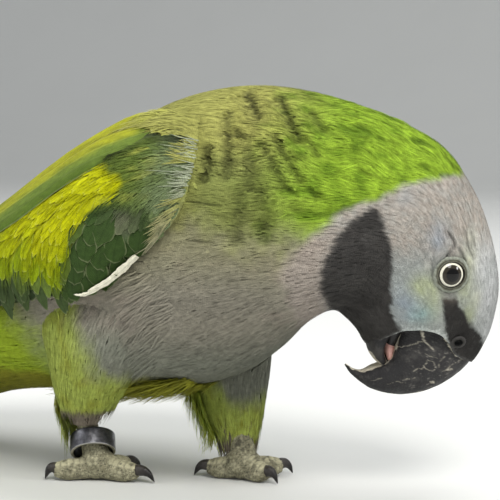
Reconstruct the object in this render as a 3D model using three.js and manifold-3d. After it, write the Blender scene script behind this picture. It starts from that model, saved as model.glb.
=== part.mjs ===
// A female Derbyan parakeet standing with its head bowed to the ground, life size, in millimetres.
// The bird faces +X, its left side is +Y and the floor is Z = 0. The origin lies on the floor under
// the middle of the whole length, bill to tail tip.
import * as THREE from 'three';
import { mergeVertices } from 'three/addons/utils/BufferGeometryUtils.js';
import Module from 'manifold-3d';

const wasm = await Module();
wasm.setup();

// ---- Driving dimensions -------------------------------------------------------------------------

const FEET_AHEAD = 95.2;        // the feet stand this far ahead of the middle of the length
const GAP = 0.3;                // clearance left between neighbouring solids
const FAR = 400;                // side of the blocks that cut, larger than the bird

// The neck turns to the left between two places on the midline, and the head is carried rigidly.
const TURN_START = 20;
const TURN_END = 52;
const TURN = THREE.MathUtils.degToRad(32);
const TURN_STEP = 0.5;

// Rings of the trunk, neck and head, from the tail coverts to the root of the bill. "top" and
// "under" are the points of the back and belly lines, as distance along the midline and height;
// "half" is half the width, and "lift" moves the widest line up (+) or down (-).
const BODY_RINGS = [
  { top: [-112, 14.6], under: [-112, 6.0], half: 15.5, lift: 0.0 },
  { top: [-95, 21.5], under: [-97, 7.6], half: 17.0, lift: 0.0 },
  { top: [-74, 35.0], under: [-79, 9.6], half: 19.0, lift: 0.0 },
  { top: [-51, 54.0], under: [-61, 13.4], half: 22.0, lift: 0.05 },
  { top: [-35, 67.5], under: [-45, 17.8], half: 25.0, lift: 0.08 },
  { top: [-20, 77.5], under: [-27, 19.8], half: 27.5, lift: 0.1 },
  { top: [-6, 86.4], under: [-10, 21.0], half: 29.5, lift: 0.1 },
  { top: [6, 92.2], under: [4, 23.0], half: 30.5, lift: 0.08 },
  { top: [18, 94.8], under: [17, 26.0], half: 30.5, lift: 0.05 },
  { top: [29, 94.8], under: [28, 33.0], half: 28.5, lift: 0.0 },
  { top: [39, 92.8], under: [35, 39.2], half: 25.0, lift: -0.05 },
  { top: [49, 90.0], under: [38.8, 41.9], half: 21.8, lift: -0.08 },
  { top: [58.5, 86.2], under: [41, 43.0], half: 19.0, lift: -0.05 },
  { top: [67.5, 80.6], under: [42.8, 43.0], half: 17.4, lift: 0.0 },
  { top: [74.2, 71.5], under: [44.4, 41.9], half: 16.4, lift: 0.0 },
  { top: [78.5, 61.0], under: [46.2, 40.2], half: 15.2, lift: 0.0 },
  { top: [80.6, 49.5], under: [47.9, 38.0], half: 13.4, lift: 0.05 },
  { top: [79.4, 40.0], under: [49.0, 36.0], half: 10.4, lift: 0.05 },
  { top: [76.9, 33.8], under: [49.9, 34.6], half: 8.5, lift: 0.0 },
  { top: [74.2, 29.6], under: [50.8, 32.8], half: 7.4, lift: 0.0 },
];
const BODY_STEPS = 40;
const BODY_SIDES = 20;
const BODY_ROUNDNESS = 0.92;

// The cuts across the body, each through a point of the back line and one of the belly line.
const COVERTS_CUT = { top: [-44, 66], under: [-58, 10] };
const NECK_CUT = { top: [32, 98], under: [34, 32] };
const HEAD_CUT = { top: [70.5, 81.5], under: [41.9, 41.5] };

// The tail, a flat pile of graduated feathers that comes down to lie on the floor.
const TAIL_RINGS = [
  { top: [-112.3, 14.0], under: [-112.3, 6.6], half: 15.0, lift: 0.0 },
  { top: [-130, 9.4], under: [-130, 2.9], half: 14.2, lift: 0.0 },
  { top: [-150, 5.7], under: [-150, 0.7], half: 13.0, lift: 0.0 },
  { top: [-172, 3.7], under: [-172, -0.3], half: 11.6, lift: 0.0 },
  { top: [-205, 2.8], under: [-205, -0.3], half: 9.2, lift: 0.0 },
  { top: [-238, 2.2], under: [-238, -0.3], half: 6.3, lift: 0.0 },
  { top: [-259, 1.7], under: [-259, -0.3], half: 3.9, lift: 0.0 },
  { top: [-267, 1.1], under: [-267, -0.2], half: 1.4, lift: 0.0 },
];
const TAIL_STEPS = 16;
const TAIL_SIDES = 12;
const TAIL_ROUNDNESS = 0.7;

// The right wing: its upper edge over the back, its bulge at mid height and its lower edge, each
// from the bend of the wing to the tip. The left wing is its mirror image.
const WING_UPPER = [
  [20, -21, 88.6], [2, -13.5, 89.4], [-21, -7.5, 80.7],
  [-48, -3.5, 64.8], [-85, -2.2, 45.5], [-125, -1.8, 26.5], [-176, -1.6, 9.6],
];
const WING_BULGE = [
  [22.5, -31, 72], [1, -35.4, 71], [-21, -33, 64.3],
  [-48, -25.5, 53.9], [-85, -17, 39], [-125, -11, 22.9], [-176, -4.6, 8.8],
];
const WING_LOWER = [
  [12, -32, 58], [-3, -35, 49], [-19, -33.5, 45],
  [-48, -26.5, 39.5], [-85, -18, 30], [-125, -11.6, 17.5], [-176, -4.8, 7],
];
const WING_DEPTH = [9, 10, 9, 5, 2.2, 1.5, 1.0];
const WING_STEPS = 20;
const WING_ACROSS = 7;
const PRIMARIES_CUT_X = -64;

// Legs, from the hip inside the body to the end of the leg feathers. Each ring is a centre and
// the half sizes along the body and across it.
const RIGHT_THIGH = [
  { at: [-5, -18, 48], half: [17, 9] },
  { at: [-7.5, -19.5, 40], half: [16.4, 9.6] },
  { at: [-9.8, -18.6, 31], half: [12.6, 9] },
  { at: [-13.6, -16, 22.5], half: [9.0, 7.4] },
  { at: [-16, -14, 17], half: [6.6, 5.6] },
  { at: [-17, -13.2, 13.4], half: [4.6, 4.2] },
];
const LEFT_THIGH = [
  { at: [0, 17, 50], half: [15, 8] },
  { at: [2, 18.5, 40], half: [15.5, 9.5] },
  { at: [5.5, 16.5, 31], half: [12.6, 9] },
  { at: [9.4, 12.6, 22.5], half: [9.8, 7.4] },
  { at: [12, 9.4, 15.5], half: [7.4, 5.8] },
  { at: [14.2, 7.2, 10.6], half: [5.2, 4.4] },
];
const THIGH_STEPS = 8;
const THIGH_SIDES = 14;

// Each foot stands on four toes, two forward and two back. "heading" turns a toe from +X to the
// left, "reach" is its length on the floor and "claw" the length of its claw.
const RIGHT_FOOT = {
  ball: [-13.6, -12.4],
  ankle: [-15.2, -12.6, 8.6],
  knee: [-17.4, -13.4, 16.5],
  toes: [
    { heading: 6, reach: 9.8, claw: 4.6 },
    { heading: 68, reach: 8.0, claw: 4.0 },
    { heading: 146, reach: 7.0, claw: 3.6 },
    { heading: 216, reach: 10.2, claw: 2.2 },
  ],
};
const LEFT_FOOT = {
  ball: [17.4, 4.2],
  ankle: [17.0, 4.6, 8.4],
  knee: [15.6, 6.4, 13.8],
  toes: [
    { heading: -12, reach: 7.0, claw: 3.2 },
    { heading: 46, reach: 9.2, claw: 3.0 },
    { heading: 198, reach: 8.2, claw: 3.4 },
    { heading: 138, reach: 8.6, claw: 4.0 },
  ],
};
const TOE_RADIUS = 2.75;
const TOE_TAPER = [1.25, 1.08, 1.0, 0.98, 0.6];
const TOE_HEIGHT = 2.45;        // height of a toe's middle, so that its sole is a narrow flat
const TOE_ROOT_RISE = 0.9;      // how much higher a toe starts in the middle of the foot
const TOE_LANDING = 0.55;       // share of a toe's reach at which it lies down on the floor
const TOE_STEPS = 4;
const TOE_SIDES = 8;
const BALL_HALF = [5.4, 4.9, 4.5];
const BALL_HEIGHT = 3.5;
const BALL_SIDES = 10;
const ANKLE_ROOT_RADIUS = 3.9;
const ANKLE_RADIUS = 3.0;
const ANKLE_STEPS = 2;
const TARSUS_FOOT_RADIUS = 2.6;
const TARSUS_RADIUS = 2.35;
const TARSUS_STEPS = 3;
const LEG_SIDES = 10;
const CLAW_GAP = 0.6;           // from the toe's end to the middle of the claw's slanting root
const CLAW_RADII = [1.45, 1.23, 0.8, 0.16];
const CLAW_ROOT_RISE = 0.6;     // the claw starts this far above the middle of its toe
const CLAW_BEND = 0.6;          // share of the claw's length at which it bends down
const CLAW_BEND_RISE = 0.2;
const CLAW_TIP_HEIGHT = 0.4;
const CLAW_STEPS = 4;
const CLAW_SIDES = 6;

// The leg ring, a closed band that has slid down askew on the right foot.
const LEG_RING = { inner: 4.75, outer: 5.5, height: 4.4, at: [-15.2, -12.6, 8.4], sides: 22 };
const LEG_RING_TILT = THREE.MathUtils.degToRad(37);
const LEG_RING_LEAN = THREE.MathUtils.degToRad(-6);
const LEG_RING_TURN = THREE.MathUtils.degToRad(28);

// The bill and tongue, in the plane of the head: "outer" runs along the ridge, "inner" along the
// cutting edge.
const UPPER_BILL = [
  { outer: [75.2, 32.4], inner: [57.4, 41.0], half: 7.9 },
  { outer: [73.2, 29.6], inner: [56.9, 38.6], half: 7.8 },
  { outer: [69.2, 26.4], inner: [56.4, 36.4], half: 7.2 },
  { outer: [64.8, 24.2], inner: [55.9, 34.5], half: 6.4 },
  { outer: [60.1, 23.1], inner: [55.3, 32.6], half: 5.5 },
  { outer: [55.3, 23.2], inner: [53.9, 30.8], half: 4.6 },
  { outer: [51.3, 24.3], inner: [51.2, 29.8], half: 3.6 },
  { outer: [48.2, 26.2], inner: [48.9, 28.8], half: 2.3 },
  { outer: [46.0, 28.2], inner: [46.8, 29.2], half: 1.1 },
  { outer: [44.8, 30.1], inner: [45.1, 30.4], half: 0.35 },
];
const LOWER_BILL = [
  { outer: [49.3, 37.4], inner: [56.6, 41.4], half: 7.0 },
  { outer: [49.9, 34.9], inner: [55.3, 37.8], half: 6.5 },
  { outer: [50.6, 32.9], inner: [54.0, 34.9], half: 5.6 },
  { outer: [51.9, 31.1], inner: [53.9, 33.0], half: 4.3 },
  { outer: [53.4, 29.9], inner: [54.5, 31.4], half: 2.8 },
];
const TONGUE = [
  { outer: [54.0, 40.6], inner: [57.4, 39.9], half: 3.0 },
  { outer: [53.4, 37.6], inner: [56.6, 37.2], half: 3.0 },
  { outer: [53.5, 35.0], inner: [56.3, 34.6], half: 2.7 },
  { outer: [54.2, 33.2], inner: [55.8, 33.0], half: 1.6 },
];
const BILL_STEPS = 14;
const BILL_SIDES = 12;
const BILL_LIFT = -0.35;
const TONGUE_STEPS = 6;
const TONGUE_SIDES = 10;
const SOFT_ROUNDNESS = 0.85;

// The edge of the feathers round the bill, from the chin by the corner of the mouth to the cere.
const FACE_EDGE = [
  [46, 33.4], [49.6, 34.8], [53.4, 37.6], [56.6, 39.5], [61, 39.7], [64.4, 38.9],
  [66.8, 37.3], [68.2, 35.4], [69.2, 33.3], [71.4, 32.0], [74.8, 30.6], [80, 29.6],
];
const FACE_BOTTOM = 15;
const FACE_BREADTH = 40;

// The eyes, set just under the surface of the head.
const EYE_AT = [66.3, 52.8];
const EYE_RADIUS = 4.6;
const EYE_ASIDE = 10.7;
const EYE_ROUND = 12;
const EYE_TALL = 8;

// ---- Colours ------------------------------------------------------------------------------------

const matt = (color) => new THREE.MeshStandardMaterial({ color, roughness: 0.9, metalness: 0 });
const GREEN = matt(0x7f9a35);
const MAUVE = matt(0x9a8f86);
const GREY = matt(0xa59f96);
const WING_GREEN = matt(0x5c7a2c);
const QUILL_GREEN = matt(0x3d5a2a);
const TAIL_GREEN = matt(0x4f7f55);
const THIGH_GREEN = matt(0x93a34a);
const FOOT_SKIN = matt(0x8a8671);
const HORN = new THREE.MeshStandardMaterial({ color: 0x34322f, roughness: 0.55, metalness: 0 });
const TONGUE_PINK = new THREE.MeshStandardMaterial({ color: 0xc08078, roughness: 0.45, metalness: 0 });
const EYE_GLOSS = new THREE.MeshStandardMaterial({ color: 0xe8e2cc, roughness: 0.1, metalness: 0 });
const BAND_METAL = new THREE.MeshStandardMaterial({ color: 0x55565a, roughness: 0.4, metalness: 1 });

// ---- The midline --------------------------------------------------------------------------------

// How far the body has turned to the left at a distance along the midline.
function heading(along) {
  return TURN * THREE.MathUtils.smoothstep(along, TURN_START, TURN_END);
}

// The turning stretch of the midline, stepped along at its heading.
const turnPath = [new THREE.Vector2(TURN_START, 0)];
for (let along = TURN_START; along < TURN_END; along += TURN_STEP) {
  const middle = heading(along + TURN_STEP / 2);
  const step = new THREE.Vector2(Math.cos(middle), Math.sin(middle)).multiplyScalar(TURN_STEP);
  turnPath.push(turnPath[turnPath.length - 1].clone().add(step));
}
const turnEnd = turnPath[turnPath.length - 1];

// The place on the floor under the midline at a distance along it.
function midline(along) {
  if (along <= TURN_START) return new THREE.Vector2(along, 0);
  if (along >= TURN_END) {
    const ahead = new THREE.Vector2(Math.cos(TURN), Math.sin(TURN)).multiplyScalar(along - TURN_END);
    return ahead.add(turnEnd);
  }
  const steps = (along - TURN_START) / TURN_STEP;
  const index = Math.floor(steps);
  return turnPath[index].clone().lerp(turnPath[index + 1], steps - index);
}

// A point of the bent body: distance along the midline, height, and distance to the left of it.
function onBody(along, height, left) {
  const foot = midline(along);
  const turned = heading(along);
  return new THREE.Vector3(foot.x - left * Math.sin(turned), foot.y + left * Math.cos(turned), height);
}

// A point of the head, which keeps the last heading of the neck all the way to the bill's tip.
function onHead(along, height, left) {
  const ahead = along - TURN_END;
  const x = turnEnd.x + ahead * Math.cos(TURN) - left * Math.sin(TURN);
  const y = turnEnd.y + ahead * Math.sin(TURN) + left * Math.cos(TURN);
  return new THREE.Vector3(x, y, height);
}

// ---- Closed skins -------------------------------------------------------------------------------

// Closes a stack of rings of points, each counted the same way round. The first and the last ring
// are closed with a strip that joins each point to the one across from it.
function closedSkin(rings) {
  const sides = rings[0].length;
  const points = rings.flat();
  const index = [];
  for (let side = 0; side < sides; side += 1) {
    const next = (side + 1) % sides;
    for (let row = 0; row + 1 < rings.length; row += 1) {
      const a = row * sides;
      const b = a + sides;
      index.push(a + side, a + next, b + side);
      index.push(a + next, b + next, b + side);
    }
  }
  const last = (rings.length - 1) * sides;
  for (let side = 0; side + 1 < sides / 2; side += 1) {
    const across = sides - 1 - side;
    index.push(side, across, side + 1, side + 1, across, across - 1);
    index.push(last + side, last + side + 1, last + across, last + side + 1, last + across - 1, last + across);
  }
  const geometry = new THREE.BufferGeometry();
  geometry.setAttribute('position', new THREE.Float32BufferAttribute(points.flatMap((p) => p.toArray()), 3));
  geometry.setIndex(index);
  return geometry;
}

// A manifold solid of a closed geometry, turned the right way out.
function solid(geometry) {
  const bare = geometry.clone();
  bare.deleteAttribute('normal');
  bare.deleteAttribute('uv');
  const merged = mergeVertices(bare, 1e-4);
  const corners = Array.from(merged.index.array);
  const at = (i) => new THREE.Vector3().fromBufferAttribute(merged.attributes.position, i);
  let volume = 0;
  for (let i = 0; i < corners.length; i += 3) {
    volume += at(corners[i]).dot(at(corners[i + 1]).cross(at(corners[i + 2])));
  }
  if (volume < 0) corners.reverse();
  const vertProperties = new Float32Array(merged.attributes.position.array);
  return new wasm.Manifold(new wasm.Mesh({ numProp: 3, vertProperties, triVerts: new Uint32Array(corners) }));
}

// A value of a list of numbers or points, on a smooth curve through them, at 0 to 1.
function smooth(values, t) {
  const size = values[0].length ?? 1;
  const points = values.map((v) => new THREE.Vector3(...(size > 1 ? v : [v])));
  const at = Math.min(t * (values.length - 1), values.length - 1 - 1e-9);
  const i = Math.floor(at);
  const f = at - i;
  const pick = (k) => points[Math.min(Math.max(k, 0), points.length - 1)];
  const before = pick(i - 1);
  const from = pick(i);
  const to = pick(i + 1);
  const after = pick(i + 2);
  const cubic = (a, b, c, d) => b + 0.5 * f * (c - a + f * (2 * a - 5 * b + 4 * c - d + f * (3 * (b - c) + d - a)));
  const result = ['x', 'y', 'z'].map((k) => cubic(before[k] ?? 0, from[k] ?? 0, to[k] ?? 0, after[k] ?? 0));
  return size > 1 ? result.slice(0, size) : result[0];
}

// A skin through the rings of a list, each an oval between its top and under points, grown by
// "grow" all round. "place" puts a point given by distance along, height and left.
function ovals(list, { steps, sides, roundness, place, grow = 0 }) {
  const rings = [];
  for (let row = 0; row <= steps; row += 1) {
    const t = row / steps;
    const top = new THREE.Vector2(...smooth(list.map((r) => r.top), t));
    const under = new THREE.Vector2(...smooth(list.map((r) => r.under), t));
    const half = smooth(list.map((r) => r.half), t) + grow;
    const lift = smooth(list.map((r) => r.lift), t);
    const middle = top.clone().lerp(under, 0.5);
    const reach = top.clone().sub(middle);
    reach.setLength(reach.length() + grow);
    const ring = [];
    for (let side = 0; side < sides; side += 1) {
      const angle = (2 * Math.PI * side) / sides;
      const up = Math.sign(Math.cos(angle)) * Math.abs(Math.cos(angle)) ** roundness;
      const out = Math.sign(Math.sin(angle)) * Math.abs(Math.sin(angle)) ** roundness;
      const spot = middle.clone().addScaledVector(reach, up + lift * Math.sin(angle) ** 2);
      ring.push(place(spot.x, spot.y, half * out));
    }
    rings.push(ring);
  }
  return closedSkin(rings);
}

// The half space beyond a cut across the body, as a block whose face is the cut moved by "shift"
// towards the tail.
function beyond(cut, shift) {
  const top = onBody(cut.top[0], cut.top[1], 0);
  const under = onBody(cut.under[0], cut.under[1], 0);
  const up = top.clone().sub(under).normalize();
  const turned = heading(cut.under[0]);
  const left = new THREE.Vector3(-Math.sin(turned), Math.cos(turned), 0);
  const flatLeft = left.sub(up.clone().multiplyScalar(left.dot(up))).normalize();
  const ahead = flatLeft.clone().cross(up).normalize();
  const block = new THREE.BoxGeometry(FAR, FAR, FAR);
  block.translate(FAR / 2, 0, 0);
  const middle = top.clone().lerp(under, 0.5).addScaledVector(ahead, -shift);
  block.applyMatrix4(new THREE.Matrix4().makeBasis(ahead, flatLeft, up).setPosition(middle));
  return solid(block);
}

// ---- Sub-parts ----------------------------------------------------------------------------------

// The block of air above the floor, which trims soles and tail flat.
const aboveFloor = solid(new THREE.BoxGeometry(2 * FAR, FAR, FAR).translate(0, 0, FAR / 2));

function body(grow) {
  const shape = { steps: BODY_STEPS, sides: BODY_SIDES, roundness: BODY_ROUNDNESS, place: onBody, grow };
  return solid(ovals(BODY_RINGS, shape));
}

function tail() {
  const shape = { steps: TAIL_STEPS, sides: TAIL_SIDES, roundness: TAIL_ROUNDNESS, place: onBody };
  return solid(ovals(TAIL_RINGS, shape)).intersect(aboveFloor);
}

// A bill or tongue piece: ovals in the plane of the head from the ridge to the cutting edge.
function billPiece(list, { steps, sides, lift, grow = 0 }) {
  const rings = list.map((r) => ({ top: r.outer, under: r.inner, half: r.half, lift }));
  return solid(ovals(rings, { steps, sides, roundness: SOFT_ROUNDNESS, place: onHead, grow }));
}

const upperBill = (grow) => billPiece(UPPER_BILL, { steps: BILL_STEPS, sides: BILL_SIDES, lift: BILL_LIFT, grow });
const lowerBill = (grow) => billPiece(LOWER_BILL, { steps: BILL_STEPS / 2, sides: BILL_SIDES, lift: 0, grow });
const tongue = (grow) => billPiece(TONGUE, { steps: TONGUE_STEPS, sides: TONGUE_SIDES, lift: 0, grow });

// Everything below the edge of the face feathers, as a block across the head.
function belowFace() {
  const outline = new THREE.Shape(FACE_EDGE.map((point) => new THREE.Vector2(...point)));
  outline.lineTo(FACE_EDGE[FACE_EDGE.length - 1][0], FACE_BOTTOM);
  outline.lineTo(FACE_EDGE[0][0], FACE_BOTTOM);
  const block = new THREE.ExtrudeGeometry(outline, { depth: FACE_BREADTH, bevelEnabled: false });
  block.translate(0, 0, -FACE_BREADTH / 2);
  const ahead = new THREE.Vector3(Math.cos(TURN), Math.sin(TURN), 0);
  const up = new THREE.Vector3(0, 0, 1);
  const frame = new THREE.Matrix4().makeBasis(ahead, up, ahead.clone().cross(up));
  frame.setPosition(turnEnd.x - TURN_END * Math.cos(TURN), turnEnd.y - TURN_END * Math.sin(TURN), 0);
  return solid(block.applyMatrix4(frame));
}

// An eyeball on the right (-1) or left (+1) of the head.
function eye(side, grow) {
  const ball = new THREE.SphereGeometry(EYE_RADIUS + grow, EYE_ROUND, EYE_TALL);
  const centre = onHead(EYE_AT[0], EYE_AT[1], side * EYE_ASIDE);
  return solid(ball.translate(centre.x, centre.y, centre.z));
}

// A folded wing, right (-1) or left (+1): an outer face bowed between its three guide lines, and
// an inner face as far in as the wing is deep there.
function wing(side, grow) {
  const outer = [];
  const inner = [];
  for (let row = 0; row <= WING_STEPS; row += 1) {
    const t = row / WING_STEPS;
    const upper = new THREE.Vector3(...smooth(WING_UPPER, t));
    const bulge = new THREE.Vector3(...smooth(WING_BULGE, t));
    const lower = new THREE.Vector3(...smooth(WING_LOWER, t));
    const depth = smooth(WING_DEPTH, t);
    const handle = bulge.clone().multiplyScalar(2).sub(upper.clone().add(lower).multiplyScalar(0.5));
    const bow = new THREE.QuadraticBezierCurve3(upper, handle, lower);
    const outerRow = [];
    const innerRow = [];
    for (let column = 0; column <= WING_ACROSS; column += 1) {
      const v = column / WING_ACROSS;
      const point = bow.getPoint(v);
      const down = bow.getTangent(v);
      const inward = new THREE.Vector3(0, -down.z, down.y).normalize();
      if (inward.y < 0) inward.negate();
      outerRow.push(point.clone().addScaledVector(inward, -grow).addScaledVector(down, grow * Math.sign(v - 0.5)));
      innerRow.push(point.clone().addScaledVector(inward, depth + grow));
    }
    outer.push(outerRow);
    inner.push(innerRow);
  }
  const rings = outer.map((row, i) => [...row, ...inner[i].toReversed()]);
  const mirrored = rings.map((ring) => ring.map((p) => new THREE.Vector3(p.x, -side * p.y, p.z)));
  return solid(closedSkin(mirrored));
}

// A feathered thigh through its rings of centre and half sizes.
function thigh(list) {
  const rings = [];
  for (let row = 0; row <= THIGH_STEPS; row += 1) {
    const t = row / THIGH_STEPS;
    const centre = new THREE.Vector3(...smooth(list.map((r) => r.at), t));
    const half = smooth(list.map((r) => r.half), t);
    const ring = [];
    for (let i = 0; i < THIGH_SIDES; i += 1) {
      const angle = (2 * Math.PI * i) / THIGH_SIDES;
      ring.push(centre.clone().add(new THREE.Vector3(half[0] * Math.cos(angle), half[1] * Math.sin(angle), 0)));
    }
    rings.push(ring);
  }
  return solid(closedSkin(rings));
}

// A tapering round rod through points, "radii" giving its radius at equal steps along it.
function rod(points, radii, steps, sides) {
  const curve = new THREE.CatmullRomCurve3(points);
  const frames = curve.computeFrenetFrames(steps, false);
  const rings = [];
  for (let row = 0; row <= steps; row += 1) {
    const centre = curve.getPointAt(row / steps);
    const radius = smooth(radii, row / steps);
    const ring = [];
    for (let i = 0; i < sides; i += 1) {
      const angle = (2 * Math.PI * i) / sides;
      const spoke = frames.normals[row].clone().multiplyScalar(radius * Math.cos(angle));
      ring.push(centre.clone().add(spoke).addScaledVector(frames.binormals[row], radius * Math.sin(angle)));
    }
    rings.push(ring);
  }
  return solid(closedSkin(rings));
}

// The unit direction of a toe on the floor.
function toeDirection(toe) {
  const turned = THREE.MathUtils.degToRad(toe.heading);
  return new THREE.Vector3(Math.cos(turned), Math.sin(turned), 0);
}

// A toe from the middle of the foot outwards, its end rounded over the root of the claw.
function toeSolid(foot, toe) {
  const root = new THREE.Vector3(foot.ball[0], foot.ball[1], TOE_HEIGHT + TOE_ROOT_RISE);
  const way = toeDirection(toe);
  const middle = root.clone().addScaledVector(way, TOE_LANDING * toe.reach).setZ(TOE_HEIGHT);
  const end = root.clone().addScaledVector(way, toe.reach).setZ(TOE_HEIGHT);
  return rod([root, middle, end], TOE_TAPER.map((share) => share * TOE_RADIUS), TOE_STEPS, TOE_SIDES);
}

// A claw that springs from the end of a toe and curves down to just above the floor.
function claw(foot, toe) {
  const way = toeDirection(toe);
  const base = new THREE.Vector3(foot.ball[0], foot.ball[1], 0).addScaledVector(way, toe.reach + CLAW_GAP);
  const points = [
    base.clone().setZ(TOE_HEIGHT + CLAW_ROOT_RISE),
    base.clone().addScaledVector(way, CLAW_BEND * toe.claw).setZ(TOE_HEIGHT + CLAW_BEND_RISE),
    base.clone().addScaledVector(way, toe.claw).setZ(CLAW_TIP_HEIGHT),
  ];
  return rod(points, CLAW_RADII, CLAW_STEPS, CLAW_SIDES);
}

// The foot: a round middle, four toes and the stub of the ankle, standing on flat soles.
function footSolid(foot) {
  const ball = new THREE.SphereGeometry(1, BALL_SIDES, BALL_SIDES / 2).scale(...BALL_HALF);
  let shape = solid(ball.translate(foot.ball[0], foot.ball[1], BALL_HEIGHT));
  for (const toe of foot.toes) shape = shape.add(toeSolid(foot, toe));
  const middle = new THREE.Vector3(foot.ball[0], foot.ball[1], BALL_HEIGHT);
  const ankle = new THREE.Vector3(...foot.ankle);
  shape = shape.add(rod([middle, ankle], [ANKLE_ROOT_RADIUS, ANKLE_RADIUS], ANKLE_STEPS, LEG_SIDES));
  return shape.intersect(aboveFloor);
}

// The bare shank between the ankle and the leg feathers, grown by "grow" all round.
function tarsusSolid(foot, grow) {
  const ankle = new THREE.Vector3(...foot.ankle);
  const knee = new THREE.Vector3(...foot.knee);
  const up = knee.clone().sub(ankle).normalize();
  const from = ankle.addScaledVector(up, GAP - grow);
  const to = knee.addScaledVector(up, grow);
  return rod([from, to], [TARSUS_FOOT_RADIUS + grow, TARSUS_RADIUS + grow], TARSUS_STEPS, LEG_SIDES);
}

// The closed band on the right leg, grown by "grow" all round.
function legRing(grow) {
  const inner = LEG_RING.inner - grow;
  const outer = LEG_RING.outer + grow;
  const edge = LEG_RING.height / 2 + grow;
  const profile = [
    new THREE.Vector2(inner, -edge), new THREE.Vector2(outer, -edge),
    new THREE.Vector2(outer, edge), new THREE.Vector2(inner, edge),
    new THREE.Vector2(inner, -edge),
  ];
  const band = new THREE.LatheGeometry(profile, LEG_RING.sides).rotateX(Math.PI / 2);
  band.rotateX(-LEG_RING_TILT).rotateY(LEG_RING_LEAN).rotateZ(LEG_RING_TURN);
  return solid(band.translate(...LEG_RING.at));
}

// ---- Assembly -----------------------------------------------------------------------------------

const group = new THREE.Group();
group.position.x = FEET_AHEAD;

function addPart(name, shape, material) {
  const mesh = shape.getMesh();
  const geometry = new THREE.BufferGeometry();
  geometry.setAttribute('position', new THREE.BufferAttribute(mesh.vertProperties, 3));
  geometry.setIndex(new THREE.BufferAttribute(mesh.triVerts, 1));
  geometry.computeVertexNormals();
  const part = new THREE.Mesh(geometry, material);
  part.name = name;
  group.add(part);
}

const tongueRoom = tongue(GAP);
const lowerRoom = lowerBill(GAP);
const upperRoom = upperBill(GAP);
const wholeBody = body(0);
const bodyRoom = body(GAP);

const headSide = wholeBody.intersect(beyond(HEAD_CUT, -GAP / 2));
const belowHead = wholeBody.subtract(beyond(HEAD_CUT, GAP / 2));
let head = headSide.subtract(belowFace()).subtract(upperRoom).subtract(lowerRoom).subtract(tongueRoom);
for (const side of [-1, 1]) head = head.subtract(eye(side, GAP));
const neck = belowHead.intersect(beyond(NECK_CUT, -GAP / 2));
const belowNeck = belowHead.subtract(beyond(NECK_CUT, GAP / 2));
const trunk = belowNeck.intersect(beyond(COVERTS_CUT, -GAP / 2));
const coverts = belowNeck.subtract(beyond(COVERTS_CUT, GAP / 2));

addPart('head', head, GREY);
addPart('neck', neck, GREEN);
addPart('trunk', trunk, MAUVE);
addPart('tail_coverts', coverts, GREEN);
addPart('tail_feathers', tail(), TAIL_GREEN);
addPart('upper_mandible', upperBill(0).subtract(tongueRoom).subtract(lowerRoom), HORN);
addPart('lower_mandible', lowerBill(0).subtract(tongueRoom), HORN);
addPart('tongue', tongue(0), TONGUE_PINK);

const ringRoom = legRing(GAP);
const primariesSide = new THREE.BoxGeometry(FAR, FAR, FAR).translate(PRIMARIES_CUT_X - FAR / 2, 0, 0);
const primariesRoom = solid(primariesSide.clone().translate(GAP / 2, 0, 0));
const primariesOnly = solid(primariesSide.clone().translate(-GAP / 2, 0, 0));

const limbs = [
  { name: 'right', side: -1, thighRings: RIGHT_THIGH, foot: RIGHT_FOOT },
  { name: 'left', side: 1, thighRings: LEFT_THIGH, foot: LEFT_FOOT },
];
for (const { name, side, thighRings, foot } of limbs) {
  addPart(`eye_${name}`, eye(side, 0), EYE_GLOSS);
  const folded = wing(side, 0).subtract(bodyRoom);
  addPart(`wing_${name}`, folded.subtract(primariesRoom), WING_GREEN);
  addPart(`primaries_${name}`, folded.intersect(primariesOnly), QUILL_GREEN);
  const besideWing = thigh(thighRings).subtract(bodyRoom).subtract(wing(side, GAP));
  const legRoom = tarsusSolid(foot, GAP).add(ringRoom);
  addPart(`thigh_${name}`, besideWing.subtract(legRoom), THIGH_GREEN);
  addPart(`tarsus_${name}`, tarsusSolid(foot, 0).subtract(ringRoom), FOOT_SKIN);
  addPart(`foot_${name}`, footSolid(foot).subtract(legRoom), FOOT_SKIN);
  foot.toes.forEach((toe, i) => addPart(`claw_${name}_${i + 1}`, claw(foot, toe), HORN));
}
addPart('leg_ring', legRing(0), BAND_METAL);

export default group;
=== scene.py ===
"""A female Derbyan parakeet with its head bowed to the ground: skin, feathers, bill, eyes and feet."""
import bpy
import numpy as np
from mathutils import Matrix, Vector, kdtree


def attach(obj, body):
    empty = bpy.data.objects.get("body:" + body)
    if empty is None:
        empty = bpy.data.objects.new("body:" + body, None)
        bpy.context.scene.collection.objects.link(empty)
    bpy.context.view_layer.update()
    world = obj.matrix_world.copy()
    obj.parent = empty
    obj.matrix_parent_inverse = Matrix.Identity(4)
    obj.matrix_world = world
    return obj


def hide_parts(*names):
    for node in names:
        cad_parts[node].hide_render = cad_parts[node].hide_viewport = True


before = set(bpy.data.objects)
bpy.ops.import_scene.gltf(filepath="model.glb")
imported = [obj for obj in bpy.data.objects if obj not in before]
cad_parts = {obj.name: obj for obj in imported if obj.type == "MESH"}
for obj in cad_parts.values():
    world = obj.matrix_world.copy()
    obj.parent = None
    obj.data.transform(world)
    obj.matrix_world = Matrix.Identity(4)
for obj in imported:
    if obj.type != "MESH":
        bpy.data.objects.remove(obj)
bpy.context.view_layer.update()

# Lengths are in millimetres until a mesh is built. The bird's own axes start on the floor between
# its feet, which stand this far ahead of the part's origin.
FEET_AHEAD = 95.2
SHIFT = np.array([FEET_AHEAD, 0.0, 0.0])
MM = 0.001
SIDES = {"right": -1, "left": 1}

# ---- Camera and light ------------------------------------

SIGHT = np.array([16.78, 8.92, 55.6])           # the point that the camera is aimed at
SIGHT_TURN, SIGHT_DOWN = np.radians(28), np.radians(5)
SIGHT_DISTANCE = 360.0
LENS, SENSOR = 106.27, 36.0


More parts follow.
